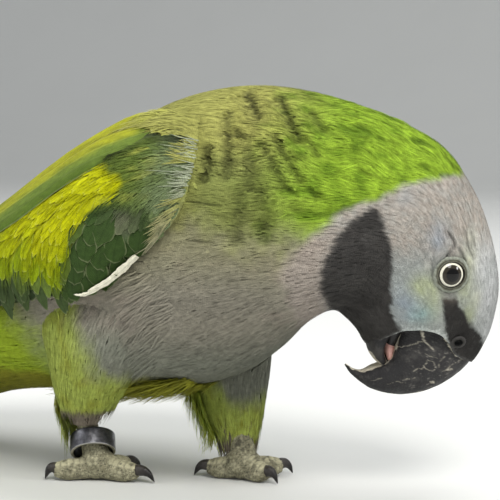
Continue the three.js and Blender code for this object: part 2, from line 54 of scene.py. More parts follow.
def add_camera():
    """A long lens, ahead of the bird's right side and a little above its back."""
    way = Vector((-np.sin(SIGHT_TURN) * np.cos(SIGHT_DOWN), np.cos(SIGHT_TURN) * np.cos(SIGHT_DOWN),
                  -np.sin(SIGHT_DOWN)))
    data = bpy.data.cameras.new("camera")
    data.sensor_width = SENSOR
    data.lens = LENS
    data.clip_start, data.clip_end = 0.01, 20
    camera = bpy.data.objects.new("camera", data)
    camera.location = (Vector(SIGHT + SHIFT) - way * SIGHT_DISTANCE) * MM
    camera.rotation_mode = "QUATERNION"
    camera.rotation_quaternion = way.to_track_quat("-Z", "Y")
    bpy.context.scene.collection.objects.link(camera)
    bpy.context.scene.camera = camera


add_camera()


def add_light(name, place, aim, size, power, colour):
    """A round soft light, in metres and watts."""
    data = bpy.data.lights.new(name, "AREA")
    data.shape = "DISK"
    data.size, data.energy, data.color = size, power, colour
    light = bpy.data.objects.new(name, data)
    light.location = place
    light.rotation_mode = "QUATERNION"
    light.rotation_quaternion = (Vector(aim) - Vector(place)).to_track_quat("-Z", "Y")
    bpy.context.scene.collection.objects.link(light)


CHEST = (0.1, 0, 0.05)
add_light("key", (0.62, -0.55, 0.95), CHEST, 0.6, 11.5, (1.0, 0.98, 0.95))
add_light("fill", (-0.75, -0.8, 0.5), CHEST, 0.9, 4.2, (0.97, 0.98, 1.0))
add_light("top", (0.1, 0.3, 1.1), CHEST, 0.9, 9.0, (1.0, 1.0, 1.0))
add_light("glint", (0.874, 0.154, 0.376), (0.155, 0.03, 0.05), 0.16, 1.7, (1.0, 1.0, 1.0))
bpy.context.scene.view_settings.view_transform = "Standard"

# ---- Numbers ---------------------------------------------


def linear(*rgb):
    """A colour given as 0 to 255 in linear light."""
    c = np.array(rgb, float) / 255
    return np.where(c <= 0.04045, c / 12.92, ((c + 0.055) / 1.055) ** 2.4)


def ramp(x, low, high):
    """0 below low, 1 above high, and a smooth step between."""
    f = np.clip((np.asarray(x, float) - low) / (high - low), 0, 1)
    return f * f * (3 - 2 * f)


def mix(a, b, share):
    """From a at a share of 0 to b at a share of 1."""
    share = np.asarray(share)[..., None]
    return a * (1 - share) + b * share


def bell(x, width=1.0, power=2):
    """1 where x is 0, falling to nothing over a few widths to both sides, the more steeply the
    greater the power."""
    return np.exp(-(np.abs(x / width) ** power))


def unit(v):
    """Vectors divided by their lengths."""
    return v / np.maximum(np.linalg.norm(v, axis=-1, keepdims=True), 1e-9)


SCRAMBLE = np.array([73856093, 19349663, 83492791])


def noise(points, size, seed=0):
    """Smooth random values from -1 to 1 on a lattice of cells of this size."""
    q = np.asarray(points, float) / size + 31.7 * (seed + 1)
    low = np.floor(q).astype(np.int64)
    f = q - low
    f = f * f * (3 - 2 * f)
    total = 0.0
    for corner in np.ndindex(2, 2, 2):
        h = low + np.array(corner)
        n = np.bitwise_xor.reduce(h * SCRAMBLE, axis=-1) ^ (seed * 2654435)
        n = (n ^ (n >> 13)) * 1274126177 & 0x7FFFFFFF
        value = ((n ^ (n >> 15)) & 0xFFFF) / 32767.5 - 1
        total = total + value * np.prod(np.where(corner, f, 1 - f), axis=-1)
    return total


def circle(count):
    """Angles evenly round, from half a turn one way up to half a turn the other way."""
    return np.linspace(-np.pi, np.pi, count, endpoint=False)


def smooth(values, t):
    """A smooth curve through evenly counted rows of values, at t from 0 to 1."""
    values = np.asarray(values, float)
    last = len(values) - 1
    at = np.clip(t, 0, 1) * last
    i = np.minimum(at.astype(int), last - 1)
    f = (at - i)[..., None]
    a, b, c, d = (values[np.clip(i + k, 0, last)] for k in (-1, 0, 1, 2))
    return b + 0.5 * f * (c - a + f * (2 * a - 5 * b + 4 * c - d + f * (3 * (b - c) + d - a)))


def carried(profile, count):
    """Distances and heights of points evenly along a profile that closes on itself."""
    return smooth(np.concatenate([profile, profile[:1]]), np.linspace(0, 1, count, endpoint=False)).T


def edge_distance(outline, s, z, closed=True):
    """The distance to an outline in the plane of the head or body, positive inside a closed one."""
    start = np.array(outline, float)
    end = np.roll(start, -1, axis=0)
    if not closed:
        start, end = start[:-1], end[:-1]
    ex, ey = (end - start).T
    px, py = np.asarray(s)[..., None] - start[:, 0], np.asarray(z)[..., None] - start[:, 1]
    along = np.clip((px * ex + py * ey) / (ex**2 + ey**2), 0, 1)
    distance = np.sqrt(((px - along * ex) ** 2 + (py - along * ey) ** 2).min(-1))
    if not closed:
        return distance
    level = (start[:, 1] > np.asarray(z)[..., None]) != (end[:, 1] > np.asarray(z)[..., None])
    crossed = level & (px < ex * py / np.where(ey == 0, 1e-9, ey))
    return np.where(crossed.sum(-1) % 2 == 1, distance, -distance)


def inside(outline, points):
    """How far points lie inside an outline in the upright plane from tail to head."""
    return edge_distance(outline, points[..., 0], points[..., 2])


# ---- The bird's shape ------------------------------------

# The midline turns to the left between two places along it.
TURN_START, TURN_END, TURN = 20.0, 52.0, np.radians(32)
_stations = np.arange(-300.0, 120.0, 0.5)
_turned = TURN * ramp(_stations, TURN_START, TURN_END)
_steps = np.stack([np.cos(_turned), np.sin(_turned)], -1)
_path = np.concatenate([[[0, 0]], np.cumsum((_steps[1:] + _steps[:-1]) / 4, axis=0)])
_path -= [np.interp(0, _stations, _path[:, 0]), np.interp(0, _stations, _path[:, 1])]


def bend(s, z, left):
    """The place of a point given by distance along the midline, height, and distance to its left."""
    turned = TURN * ramp(s, TURN_START, TURN_END)
    x = np.interp(s, _stations, _path[:, 0]) - left * np.sin(turned)
    y = np.interp(s, _stations, _path[:, 1]) + left * np.cos(turned)
    return np.stack(np.broadcast_arrays(x, y, z), -1)


def unbend(points):
    """Distance along the midline, height, and distance to the left, found by stepping along it."""
    s = points[..., 0].copy()
    for _ in range(8):
        turned = TURN * ramp(s, TURN_START, TURN_END)
        dx = points[..., 0] - np.interp(s, _stations, _path[:, 0])
        dy = points[..., 1] - np.interp(s, _stations, _path[:, 1])
        s = s + np.clip(dx * np.cos(turned) + dy * np.sin(turned), -6, 6)
    return s, points[..., 2], dy * np.cos(turned) - dx * np.sin(turned)


# Rings of tail root, trunk, neck and head: the back line's distance along and height, the belly
# line's, half the width, and how far the widest line lies above the middle.
BODY_RINGS = np.array([
    [-150, 5.7, -150, 0.7, 13.0, 0], [-130, 9.4, -130, 2.9, 14.2, 0], [-112, 14.6, -112, 6.0, 15.5, 0],
    [-95, 21.5, -97, 7.6, 17.0, 0], [-74, 35.0, -79, 9.6, 19.0, 0], [-51, 54.0, -61, 13.4, 22.0, 0.05],
    [-35, 67.5, -45, 17.8, 25.0, 0.08], [-20, 77.5, -27, 19.8, 27.5, 0.1], [-6, 86.4, -10, 21.0, 29.5, 0.1],
    [6, 92.2, 4, 23.0, 30.5, 0.08], [18, 94.8, 17, 26.0, 30.5, 0.05], [29, 94.8, 28, 33.0, 28.5, 0],
    [39, 92.8, 35, 39.2, 25.0, -0.05], [49, 90.0, 38.8, 41.9, 21.8, -0.08],
    [58.5, 86.2, 41, 43.0, 19.0, -0.05], [67.5, 80.6, 42.8, 43.0, 17.4, 0],
    [74.2, 71.5, 44.4, 41.9, 16.4, 0], [78.5, 61.0, 46.2, 40.2, 15.2, 0],
    [80.6, 49.5, 47.9, 38.0, 13.4, 0.05], [79.4, 40.0, 49.0, 36.0, 10.4, 0.05],
    [76.9, 33.8, 49.9, 34.6, 8.5, 0], [74.2, 29.6, 50.8, 32.8, 7.4, 0],
])
LAST_RING = len(BODY_RINGS) - 1
BODY_ROUNDNESS = 0.92


def ring(number):
    """The share of the body's length at which a ring of the list above lies."""
    return number / LAST_RING


def oval(rings, t, a, inset, roundness):
    """Distance along, height and distance left of points on stacked ovals: t from the first oval to
    the last, a the angle from the top to the left. Cosine and sine are each raised to the
    roundness, and the oval shrinks by inset all round."""
    top_s, top_z, under_s, under_z, half, lift = np.moveaxis(smooth(rings, t), -1, 0)
    up, out = np.cos(a), np.sin(a)
    reach_s, reach_z = (top_s - under_s) / 2, (top_z - under_z) / 2
    size = np.maximum(np.hypot(reach_s, reach_z), 1e-6)
    shrunk = (size - inset) / size
    rise = (np.sign(up) * np.abs(up) ** roundness + lift * out**2) * shrunk
    aside = (half - inset) * np.sign(out) * np.abs(out) ** roundness
    return (top_s + under_s) / 2 + reach_s * rise, (top_z + under_z) / 2 + reach_z * rise, aside


# Folds of the neck and creases round the eye: a line in the plane of the head or body, how wide
# and how deep it is, and how dark the shade painted along it is.
FOLDS = [
    ([(25.3, 93), (27.2, 91.8), (28.5, 90.2), (30.3, 88)], 0.8, 1.1, 0.62),
    ([(32.1, 91.8), (33.8, 89.6), (34.9, 87.4), (36, 85.1), (36.8, 83)], 0.8, 1.1, 0.65),
    ([(38.4, 88.6), (40.5, 85)], 0.6, 0.5, 0.35),
    ([(25, 88.5), (26.8, 82.7), (27.5, 79.3), (27.7, 75)], 0.8, 0.8, 0.45),
    ([(27.7, 85), (29.4, 82.9)], 0.6, 0.6, 0.6), ([(30.1, 81.3), (30.8, 77.1), (31, 72.2)], 0.8, 0.6, 0.35),
    ([(31.9, 82), (33.6, 78.4), (34.6, 75.7), (35.5, 72.8), (36.5, 71.8)], 0.6, 0.8, 0.55),
    ([(33.4, 83.9), (34.6, 81), (36.2, 77.2), (37.5, 73.8)], 0.6, 0.8, 0.55),
    ([(38, 83), (39.9, 79.3)], 0.5, 0.5, 0.4), ([(38.6, 72.5), (39.9, 70.4)], 0.5, 0.5, 0.4),
    ([(23.5, 81), (24.3, 77.3), (24, 74.2)], 0.8, 1.2, 0.7),
    ([(32.5, 71.9), (33, 66.8), (33, 61.5)], 0.9, 0.5, 0.3),
    ([(30, 71.8), (29.9, 66.6), (29.5, 61.3)], 0.9, 0.5, 0.3),
    ([(24.3, 77.7), (26.2, 77.3)], 0.22, 0.2, 0.6), ([(21.9, 69.6), (27.4, 68.7)], 0.22, 0.2, 0.5),
    ([(22.4, 60.9), (26.2, 60.7)], 0.22, 0.2, 0.45),
    ([(66.0, 62.2), (67.3, 60.4), (67.6, 59.0), (66.6, 58.0), (65.9, 56.8)], 0.34, 0.35, 0.6),
    ([(68.6, 58.6), (69.9, 56.6), (70.4, 54.4)], 0.34, 0.3, 0.42),
    ([(70.4, 62.2), (70.9, 59.2), (72.1, 56.3)], 0.3, 0.3, 0.42),
    ([(72.2, 61.2), (72.6, 58.6)], 0.3, 0.25, 0.35),
    ([(62.6, 57.8), (62.3, 53.9), (63.0, 51.0)], 0.36, 0.1, 0.22),
]


def fold_shade(s, z, left):
    """How much painted shade the folds put on a place, and below nothing how much painted highlight
    their ridges put: for each, its darkness falling off with distance, and a light line to both sides of it."""
    shade, light = 0 * s, 0 * s
    for line, width, _, dark in FOLDS:
        near = edge_distance(line, s, z, False) / width
        dark = dark if width < 0.45 else 0.25 + 0.62 * dark
        shade = np.maximum(shade, dark * (0.92 * bell(near, power=2.6) + 0.26 * bell(near, 2.4)))
        light = np.maximum(light, 0.24 * dark * bell(near - 2.5, 0.9))
    return np.clip(shade - light, -0.3, 0.9) * ramp(np.abs(left), 3, 6)


NOSTRIL_AT, NOSTRIL_DEPTH = (69.7, 36.7), 0.9


def sunk(s, z, left):
    """How far the coat sinks below its even surface: into folds, round the eyes and nostrils, and
    between tufts on the neck."""
    depth = bell(np.hypot(s - 66.9, z - 52.5), 4.9, 8)
    depth = depth + NOSTRIL_DEPTH * bell(np.hypot(s - NOSTRIL_AT[0], z - NOSTRIL_AT[1]), 1.1, 4)
    for line, width, deep, _ in FOLDS:
        depth = depth + deep * bell(edge_distance(line, s, z, False), 1.6 * width)
    tufts = noise(np.stack([0.6 * s, z, left], -1), 2.6, 51)
    rise = 0.32 * ramp(s, 26, 40) * ramp(z, 62, 72) + 0.08
    return depth * ramp(np.abs(left), 2, 6) + rise * ramp(68 - s, 0, 8) * tufts


def body(t, a, inset=0.0):
    """The surface of head, neck, trunk and tail root: stacked ovals, sunk in places and bent along
    the midline, t from the tail to the head and a the angle from the top to the left."""
    s, z, left = oval(BODY_RINGS, t, a, 0.0, BODY_ROUNDNESS)
    return bend(*oval(BODY_RINGS, t, a, inset + sunk(s, z, left), BODY_ROUNDNESS))


# The edge of the feathers round the bill, from the chin by the corner of the mouth to the cere.
FACE_EDGE = [
    (40, 15), (46, 33.4), (49.6, 34.8), (53.4, 37.6), (56.6, 39.5), (61, 39.7), (64.4, 38.9),
    (66.8, 37.3), (68.2, 35.4), (69.2, 33.3), (71.4, 32.0), (74.8, 30.6), (80, 29.6), (90, 15),
]
_angles = np.linspace(-np.pi, np.pi, 241)
_tries = np.linspace(ring(15), 1.0, 400)
_s, _z, _ = oval(BODY_RINGS, _tries[:, None] + 0 * _angles, _angles + 0 * _tries[:, None], 0.3, BODY_ROUNDNESS)
_beyond = edge_distance(FACE_EDGE, _s, _z) > 0
_ends = np.where(_beyond.any(0), _tries[np.argmax(_beyond, axis=0)], 1.0)
_ends = np.convolve(np.concatenate([_ends[-6:-1], _ends, _ends[1:6]]), np.ones(5) / 5, "same")[5:-5]


def face_end(a):
    """The share of the body's length at which the face ends, at an angle round it."""
    return np.interp(a, _angles, _ends)


# The wings: guide lines over the back, at the bulge and at the lower edge of the right one, and
# its depth, from the bend to the tip.
WING_UPPER = np.array([[20, -21, 88.6], [2, -13.5, 89.4], [-21, -7.5, 80.7], [-48, -3.5, 64.8],
                       [-85, -2.2, 45.5], [-125, -1.8, 26.5], [-176, -1.6, 9.6]])
WING_BULGE = np.array([[22.5, -31, 72], [1, -35.4, 71], [-21, -33, 64.3], [-48, -25.5, 53.9],
                       [-85, -17, 39], [-125, -11, 22.9], [-176, -4.6, 8.8]])
WING_LOWER = np.array([[12, -32, 58], [-3, -35, 49], [-19, -33.5, 45], [-48, -26.5, 39.5],
                       [-85, -18, 30], [-125, -11.6, 17.5], [-176, -4.8, 7]])
WING_DEPTH = np.array([[9.0], [10], [9], [5], [2.2], [1.5], [1.0]])


def wing(side):
    """The outer face of a folded wing: a parabola from the upper guide line to the lower one
    through the bulge, at v from 0 to 1, and t from the bend of the wing to its tip."""

    def surface(t, v, inset=0.0):
        """A point of the parabola, moved inset deep along its normal in the upright cross plane."""
        upper, bulge, lower = smooth(WING_UPPER, t), smooth(WING_BULGE, t), smooth(WING_LOWER, t)
        handle = 2 * bulge - (upper + lower) / 2
        v = np.asarray(v)[..., None]
        point = upper * (1 - v) ** 2 + 2 * handle * v * (1 - v) + lower * v**2
        down = 2 * (handle - upper) * (1 - v) + 2 * (lower - handle) * v
        inward = unit(np.stack([0 * down[..., 0], -down[..., 2], down[..., 1]], -1))
        inward = inward * np.where(inward[..., 1:2] < 0, -1, 1)
        return (point + inward * np.asarray(inset)[..., None]) * [1, -side, 1]

    return surface


WINGS = {name: wing(side) for name, side in SIDES.items()}
WING_COUNT = 6.0                # the guide lines have this many stretches


def on_wing(name):
    """The outer face of a wing, counted from the tip (0) to the bend (1)."""
    return lambda u, v, inset=0.0: WINGS[name](1 - u, v, inset)

# Thighs: centre and half sizes of level ovals from the hip down.
THIGH_RINGS = {
    "right": np.array([[-5, -18, 48, 17, 9], [-7.5, -19.5, 40, 16.4, 9.6], [-9.8, -18.6, 31, 12.6, 9],
                       [-13.6, -16, 22.5, 9.0, 7.4], [-16, -14, 17, 6.6, 5.6], [-17, -13.2, 13.4, 4.6, 4.2]]),
    "left": np.array([[0, 17, 50, 15, 8], [2, 18.5, 40, 15.5, 9.5], [5.5, 16.5, 31, 12.6, 9],
                      [9.4, 12.6, 22.5, 9.8, 7.4], [12, 9.4, 15.5, 7.4, 5.8], [14.2, 7.2, 10.6, 5.2, 4.4]]),
}


def thigh(name):
    """Level ovals stacked along the thigh, t from the hip down and a the angle from the front."""

    def surface(t, a, inset=0.0):
        """A point of an oval, smaller by inset, and going on narrowing below the last one."""
        x, y, z, along, across = np.moveaxis(smooth(THIGH_RINGS[name], t), -1, 0)
        below = np.maximum(np.asarray(t) - 1, 0) * 30
        along, across = along - inset - 0.15 * below, across - inset - 0.15 * below
        return np.stack([x + along * np.cos(a), y + across * np.sin(a), z - below], -1)

    return surface


THIGHS = {name: thigh(name) for name in THIGH_RINGS}


def on_thigh(name):
    """The thigh's surface, counted from the ankle end (0) to the hip (1)."""
    return lambda u, a, inset=0.0: THIGHS[name](1 - u, a, inset)


# The eyes: where their middles lie in the plane of the head and beside it.
EYE_AT = (66.3, 52.8)
EYE_ASIDE, EYE_RADIUS = 10.7, 4.6
BARE_RING = 3.95                # how far the bare skin reaches from the middle of the eye


def on_head(s, z, left):
    """The place of a point of the bill, in the plane the head is carried in."""
    x0, y0 = bend(np.array(TURN_END), 0.0, 0.0)[:2]
    ahead = np.asarray(s, float) - TURN_END
    x = x0 + ahead * np.cos(TURN) - left * np.sin(TURN)
    y = y0 + ahead * np.sin(TURN) + left * np.cos(TURN)
    return np.stack(np.broadcast_arrays(x, y, z), -1)


def eye_frame(side, lean=1.0):
    """The middle of an eyeball and three directions: outwards, more or less square to the face,
    ahead and up."""
    centre = on_head(EYE_AT[0], EYE_AT[1], side * EYE_ASIDE)
    ahead = np.array([np.cos(TURN), np.sin(TURN), 0])
    out = unit(side * np.array([-np.sin(TURN), np.cos(TURN), 0]) + lean * (0.2 * ahead + np.array([0, 0, -0.08])))
    ahead = unit(ahead - out * (ahead @ out))
    return centre, out, ahead, np.cross(out, ahead) * side


def from_eye(points):
    """The distance of points on the head to the axis of the eye on their side."""
    found = []
    for side in (-1, 1):
        centre, out, _, _ = eye_frame(side)
        away = points - centre
        found.append(np.where(away @ out > 0, np.linalg.norm(np.cross(away, out), axis=-1), 99.0))
    return np.minimum(*found)


def rod(path, radii, rows, sides, squash=1.0):
    """Rings of points round a smooth path through a few places. The radius follows its own smooth
    curve, and each ring's frame is the one before it turned as little as the path allows."""
    t = np.linspace(0, 1, rows)
    centre = smooth(path, t)
    radius = smooth(np.reshape(radii, (-1, 1)), t)
    way = unit(np.gradient(centre, axis=0))
    side = np.cross(way[0], [0.0, 0.0, 1.0])
    side = np.array([0.0, 1.0, 0.0]) if np.linalg.norm(side) < 0.1 else side
    sides_of = []
    for w in way:
        side = unit(side - w * (side @ w))
        sides_of.append(side)
    side = np.array(sides_of)
    up = np.cross(side, way)
    a = np.linspace(0, 2 * np.pi, sides, endpoint=False)
    return centre[:, None] + radius[:, None] * (side[:, None] * np.cos(a)[None, :, None]
                                                + squash * up[:, None] * np.sin(a)[None, :, None])

# ---- Markings --------------------------------------------

LIME, LIME_DEEP, OLIVE = linear(162, 196, 58), linear(106, 138, 34), linear(170, 170, 92)
MAUVE, PINK, BELLY = linear(154, 149, 134), linear(162, 149, 138), linear(136, 138, 124)
FLANK, RUMP, THIGH_GREEN = linear(156, 178, 46), linear(112, 148, 60), linear(174, 188, 90)
GREY, WARM_GREY, LILAC = linear(169, 173, 169), linear(181, 172, 162), linear(202, 203, 203)
TURQUOISE, BLUE, PALE_GREEN = linear(140, 178, 180), linear(152, 166, 182), linear(178, 186, 140)
BLACK, YELLOW, YELLOW_GREEN = linear(67, 65, 63), linear(172, 175, 0), linear(126, 144, 2)
WING_GREEN, GREY_GREEN, DARK_GREEN = linear(90, 108, 42), linear(114, 128, 94), linear(50, 70, 30)
TAIL_GREEN, TAIL_BLUE = linear(74, 128, 70), linear(78, 128, 130)
CREAM, SOFT_YELLOW, POUCH = linear(238, 234, 212), linear(182, 184, 84), linear(112, 104, 94)
VENT, SHANK = linear(142, 142, 44), linear(126, 116, 102)

HEAD_EDGE = [
    (76, 76.6), (70.3, 74.9), (65.4, 74.3), (59.7, 73.4), (54.1, 72.2), (49.6, 70.2), (46.2, 68.7),
    (42.6, 66.8), (40.6, 64.0), (38.6, 61.4), (36.6, 58.6), (35.6, 54), (35.4, 50), (36.2, 44), (36, 36),
    (50, 15), (100, 15), (100, 90), (84, 86), (79, 81),
]
MOUSTACHE = [
    (47.3, 67.2), (49.0, 68.4), (49.9, 67.1), (50.6, 65.2), (51.3, 63.1), (52.7, 59.7), (53.4, 54.2),
    (52.9, 51.4), (53.5, 47.8), (53.7, 44.2), (55.3, 40.9), (56.8, 39.4), (53.2, 37.0), (46, 28), (38, 38),
    (41.4, 44.6), (40.4, 47.9), (40.0, 50.0), (40.4, 54.6), (41.3, 58.0), (42.7, 62.1), (44.7, 65.3),
]
LORE = [
    (64.7, 47.6), (65.2, 44.0), (66.1, 40.4), (66.8, 37.3), (66.9, 36.8), (69.2, 33), (73, 30), (84, 28),
    (84, 33.4), (76.6, 35.6), (75.8, 37.4), (74.6, 39.1), (72.6, 40.8), (70.5, 43.8), (69.4, 45.6),
    (68.3, 47.6),
]


def body_colour(points):
    """The colours of head, neck, breast, back, belly and rump at points on or near them."""
    s, z, left = unbend(points)
    w = np.abs(left)
    rough = noise(points, 3.0, 1) + 0.5 * noise(points, 1.3, 2)
    broad = noise(points, 14.0, 3)
    # Back and breast: green above, mauve below, olive where they meet.
    tufts = noise(np.stack([0.6 * s, z, left], -1), 2.6, 51)
    back = mix(OLIVE, linear(142, 150, 82), ramp(86 - z, 0, 12) * ramp(s, 16, 26))
    back = mix(back, LIME, ramp(s + 2 * broad, 29, 44) * ramp(z + s - 34, 55, 72))
    back = mix(back, LIME_DEEP, (0.15 + 0.75 * ramp(tufts + 0.5 * rough, -0.1, 0.7)) * ramp(s, 26, 40))
    # Painted shade in the gaps between clumps of neck feathers, and painted highlight on the clumps.
    clump_shade_and_light = noise(np.stack([0.45 * s, z + 0.4 * s, left], -1), 1.5, 53) * ramp(s, 22, 32)
    back = back * (1 - 0.34 * ramp(clump_shade_and_light, 0.15, 0.9) + 0.16 * ramp(-clump_shade_and_light, 0.15, 0.9))[..., None]
    back = mix(back, RUMP, ramp(-s, 30, 62))
    line = np.interp(s, [-52, -22, 15, 22, 30, 38], [31, 57, 66, 66, 61, 58]) + 3 * broad
    breast = mix(MAUVE, PINK, 0.6 * ramp(broad + 0.5 * rough, -0.3, 0.9))
    breast = mix(breast, OLIVE * 0.75, 0.4 * ramp(z + 3 * broad, 44, 64) * ramp(40 - s, 0, 8))
    breast = mix(breast, BELLY, ramp(44 - z + 3 * broad, 0, 14))
    breast = mix(breast, FLANK, ramp(-s + 3 * rough + 0.5 * (38 - z), 16, 34))
    breast = mix(breast, VENT, ramp(27.5 - z + rough, 0, 3) * ramp(13 - s + 2 * rough, 0, 5))
    colour = mix(breast, back, ramp(z + 2.5 * rough, line - 6, line + 7))
    mark = ramp(noise(np.stack([0.3 * s, 1.7 * z, left], -1), 2.2, 52) + 0.25 * rough, 0.65, 1.0)
    mark = mark * ramp(z, 34, 40)
    # Painted shade in thin partings between the breast's feathers.
    parting_shade = ramp(noise(np.stack([0.4 * s, 3.0 * z, left], -1), 2.2, 69), 0.6, 0.85)
    parting_shade = parting_shade * ramp(s, 12, 20) * ramp(46 - s, 0, 6)
    colour = colour * (1 - 0.34 * mark - 0.3 * parting_shade)[..., None]
    # Head: grey, warm towards the nape, blue and green round the bill, pale green round the eye.
    fine = noise(points, 1.0, 4)
    head = mix(GREY, WARM_GREY, ramp(z + 2 * rough, 52, 62) * (0.6 + 0.4 * ramp(fine, -0.6, 0.6)))
    head = mix(head, PINK * 1.25, 0.8 * ramp(44 - s, 0, 5) * ramp(64 - z, -2, 4))
    near = lambda at_s, at_z, size, tall=1.0: np.exp(-(((s - at_s) ** 2 + ((z - at_z) / tall) ** 2) / size**2))
    head = mix(head, LILAC * 0.72, 0.6 * near(55.9, 70.2, 2.2))
    patchy = 0.75 + 0.35 * rough
    head = mix(head, LILAC, 0.85 * patchy * ramp(s + 0.25 * (z - 48), 70.5, 75.5) * ramp(64 - z, 0, 8))
    head = mix(head, linear(206, 208, 176), 0.55 * patchy
               * np.clip(near(71.6, 57.5, 2.0, 2.2) + 0.8 * near(73.0, 47.5, 1.6, 2.0), 0, 1))
    head = head * (1 + 0.09 * ramp(s, 69, 75) * ramp(z, 36, 44))[..., None]
    head = mix(head, BLUE, 0.65 * patchy * np.clip(near(56.4, 46.2, 3.6, 1.3) + near(63.4, 61.2, 2.4, 1.3), 0, 1))
    green = near(62.6, 47.5, 2.6, 1.8) + near(70.2, 50.4, 1.9, 2.4) + near(71.4, 43.2, 1.7, 1.6)
    head = mix(head, PALE_GREEN, 0.75 * patchy * np.clip(green + near(59.4, 50.5, 2.6), 0, 1))
    head = mix(head, TURQUOISE, 0.75 * patchy * near(60.2, 43.4, 2.6))
    colour = mix(colour, head, ramp(edge_distance(HEAD_EDGE, s, z) + 0.6 * rough, -1.1, 1.1))
    dark = np.maximum(edge_distance(MOUSTACHE, s, z), edge_distance(LORE, s, z) - 0.2)
    brown = ramp(z, 45, 49) * ramp(s, 60, 62) + 0.06 * ramp(fine, 0.2, 0.8)
    black = mix(BLACK * (1 - 0.35 * ramp(s, 60, 62))[..., None], POUCH * 0.6, brown)
    ragged = noise(np.stack([0.45 * s, 1.5 * z + 0.5 * s, left], -1), 0.8, 68)
    colour = mix(colour, black * (1 + 0.25 * rough)[..., None],
                 ramp(dark + 0.2 * rough + 0.42 * ragged, -0.6, 0.55))
    colour = mix(colour, POUCH, 0.6 * np.clip(near(66.5, 48.9, 1.6, 1.1), 0, 1) * ramp(w, 6, 9))
    # Painted shade in the folds and creases, painted highlight on their ridges, and darker round the eyes' bare
    # rings.
    colour = colour * (1 - fold_shade(s, z, left) - 0.35 * ramp(5.4 - from_eye(points), 0, 1.2))[..., None]
    return colour * (1 + 0.1 * broad + 0.05 * rough)[..., None]


YELLOW_PATCH = [
    (-1.7, 78.1), (5, 75.4), (7.3, 73.6), (6.1, 70.2), (-0.2, 66.6), (-3.7, 60.7), (-5, 56.4), (-7.8, 48.7),
    (-12.8, 50.1), (-18.8, 50.9), (-25.1, 51), (-40, 46), (-58, 37), (-64, 44), (-45, 57), (-30.4, 63.5),
    (-20.7, 70.0), (-12.1, 74.6),
]
DARK_PATCH = [
    (-0.2, 66.6), (5.1, 68.4), (13.7, 67.4), (15.5, 63), (12.8, 57), (9, 50), (-2.9, 46), (-9, 46), (-7, 50),
    (-5, 56.4), (-3.7, 60.7),
]
BAND_LINE = [(30, 90), (12, 84), (4.9, 79.8), (-4.3, 75.8), (-12.3, 71.1), (-20, 66.9), (-26.5, 62.3), (-60, 44),
             (-110, 26), (-180, 8), (-180, 100), (30, 100)]
MANTLE_EDGE = [(0.5, 80.2), (3.8, 82.6), (5.4, 83.9), (8.1, 85.1), (12.2, 85.3), (15.6, 84.7), (18.4, 83.8),
               (20.6, 82.7), (22.7, 81.0), (23.2, 77.7)]


def wing_colour(points):
    """The colours of a folded wing, by place along the body and height, with painted shadow in the hollow under
    the mantle's edge.
    """
    x, z = points[..., 0], points[..., 2]
    rough = noise(points, 4.0, 5) + 0.5 * noise(points, 1.7, 6)
    streaks = noise(np.stack([0.35 * x + 0.3 * z, z - 0.5 * x, points[..., 1]], -1), 1.8, 7)
    colour = mix(WING_GREEN, SOFT_YELLOW, 0.5 * ramp(streaks, 0, 0.9) * ramp(z, 66, 74))
    colour = mix(colour, GREY_GREEN, ramp(x + 1.5 * rough, 8, 18) * (0.85 - 0.4 * ramp(-streaks, 0, 0.8)))
    colour = mix(colour, DARK_GREEN, ramp(edge_distance(DARK_PATCH, x, z) + 1.2 * rough, -1.5, 1.5))
    greyish = np.exp(-(((x - 8.6) / 3.4) ** 2 + ((z - 64.6) / 2.8) ** 2))
    colour = mix(colour, linear(106, 108, 86), 0.75 * greyish)
    low = ramp(np.interp(x, [-64, -40, -25, -8], [36, 45, 50, 48]) - z + rough, 0, 1.5) * ramp(-x, 2, 5)
    colour = mix(colour, linear(60, 76, 40), low)
    yellow = mix(YELLOW, YELLOW_GREEN, ramp(63 - z + 4 * rough, 0, 12))
    patch = ramp(edge_distance(YELLOW_PATCH, x, z) + rough, -0.8, 0.8)
    colour = mix(colour, yellow, patch * ramp(x, -64, -46))
    above = edge_distance(BAND_LINE, x, z)
    band = mix(WING_GREEN * 0.9, linear(152, 154, 40), ramp(above + rough, 1.5, 6))
    band = mix(band, WING_GREEN * 0.75, ramp(-x, 40, 75))
    colour = mix(colour, band, ramp(above + 0.5 * rough, -0.4, 0.4))
    # Painted shadow in the hollow below the mantle's edge.
    colour = colour * (1 - 0.8 * bell(edge_distance(MANTLE_EDGE, x, z + 0.9, False), 1.7))[..., None]
    return colour * (1 + 0.08 * rough)[..., None]


def thigh_colour(points):
    """Green behind and below, the belly's colour in front, and grey skin at the bare lower end."""
    x, y, z = points[..., 0], points[..., 1], points[..., 2]
    rough = noise(points, 3.0, 8) + 0.5 * noise(points, 1.2, 9)
    colour = mix(THIGH_GREEN, VENT, 0.6 * ramp(rough, 0, 1))
    colour = colour * (1 + 0.12 * rough)[..., None]
    middle = np.where(y < 0, -9.0, 2.0)
    belly = mix(BELLY * 1.05, body_colour(points), ramp(z, 34, 42))
    right = ramp(x - middle + 0.25 * (z - 41) + 2 * rough, -4, 4) * ramp(z + 2 * rough, 24, 30)
    left = ramp(x - 9 + 0.55 * (z - 24) + 2 * rough, -3, 3) * ramp(z + 1.5 * rough, 16, 21)
    colour = mix(colour, belly, np.where(y < 0, right, left))
    low = np.where(y < 0, 17.5, 9.0)
    return mix(colour, SHANK * (1 - 0.5 * ramp(noise(points * [1.6, 1.6, 0.5], 1.2, 27), 0, 0.8))[..., None],
               ramp(low - z, -0.6, 0.6))


# ---- Building meshes -------------------------------------

SEED = 7
PATCH = 0.003                   # the size of a feather's patch on the unwrap
rng = np.random.default_rng(SEED)

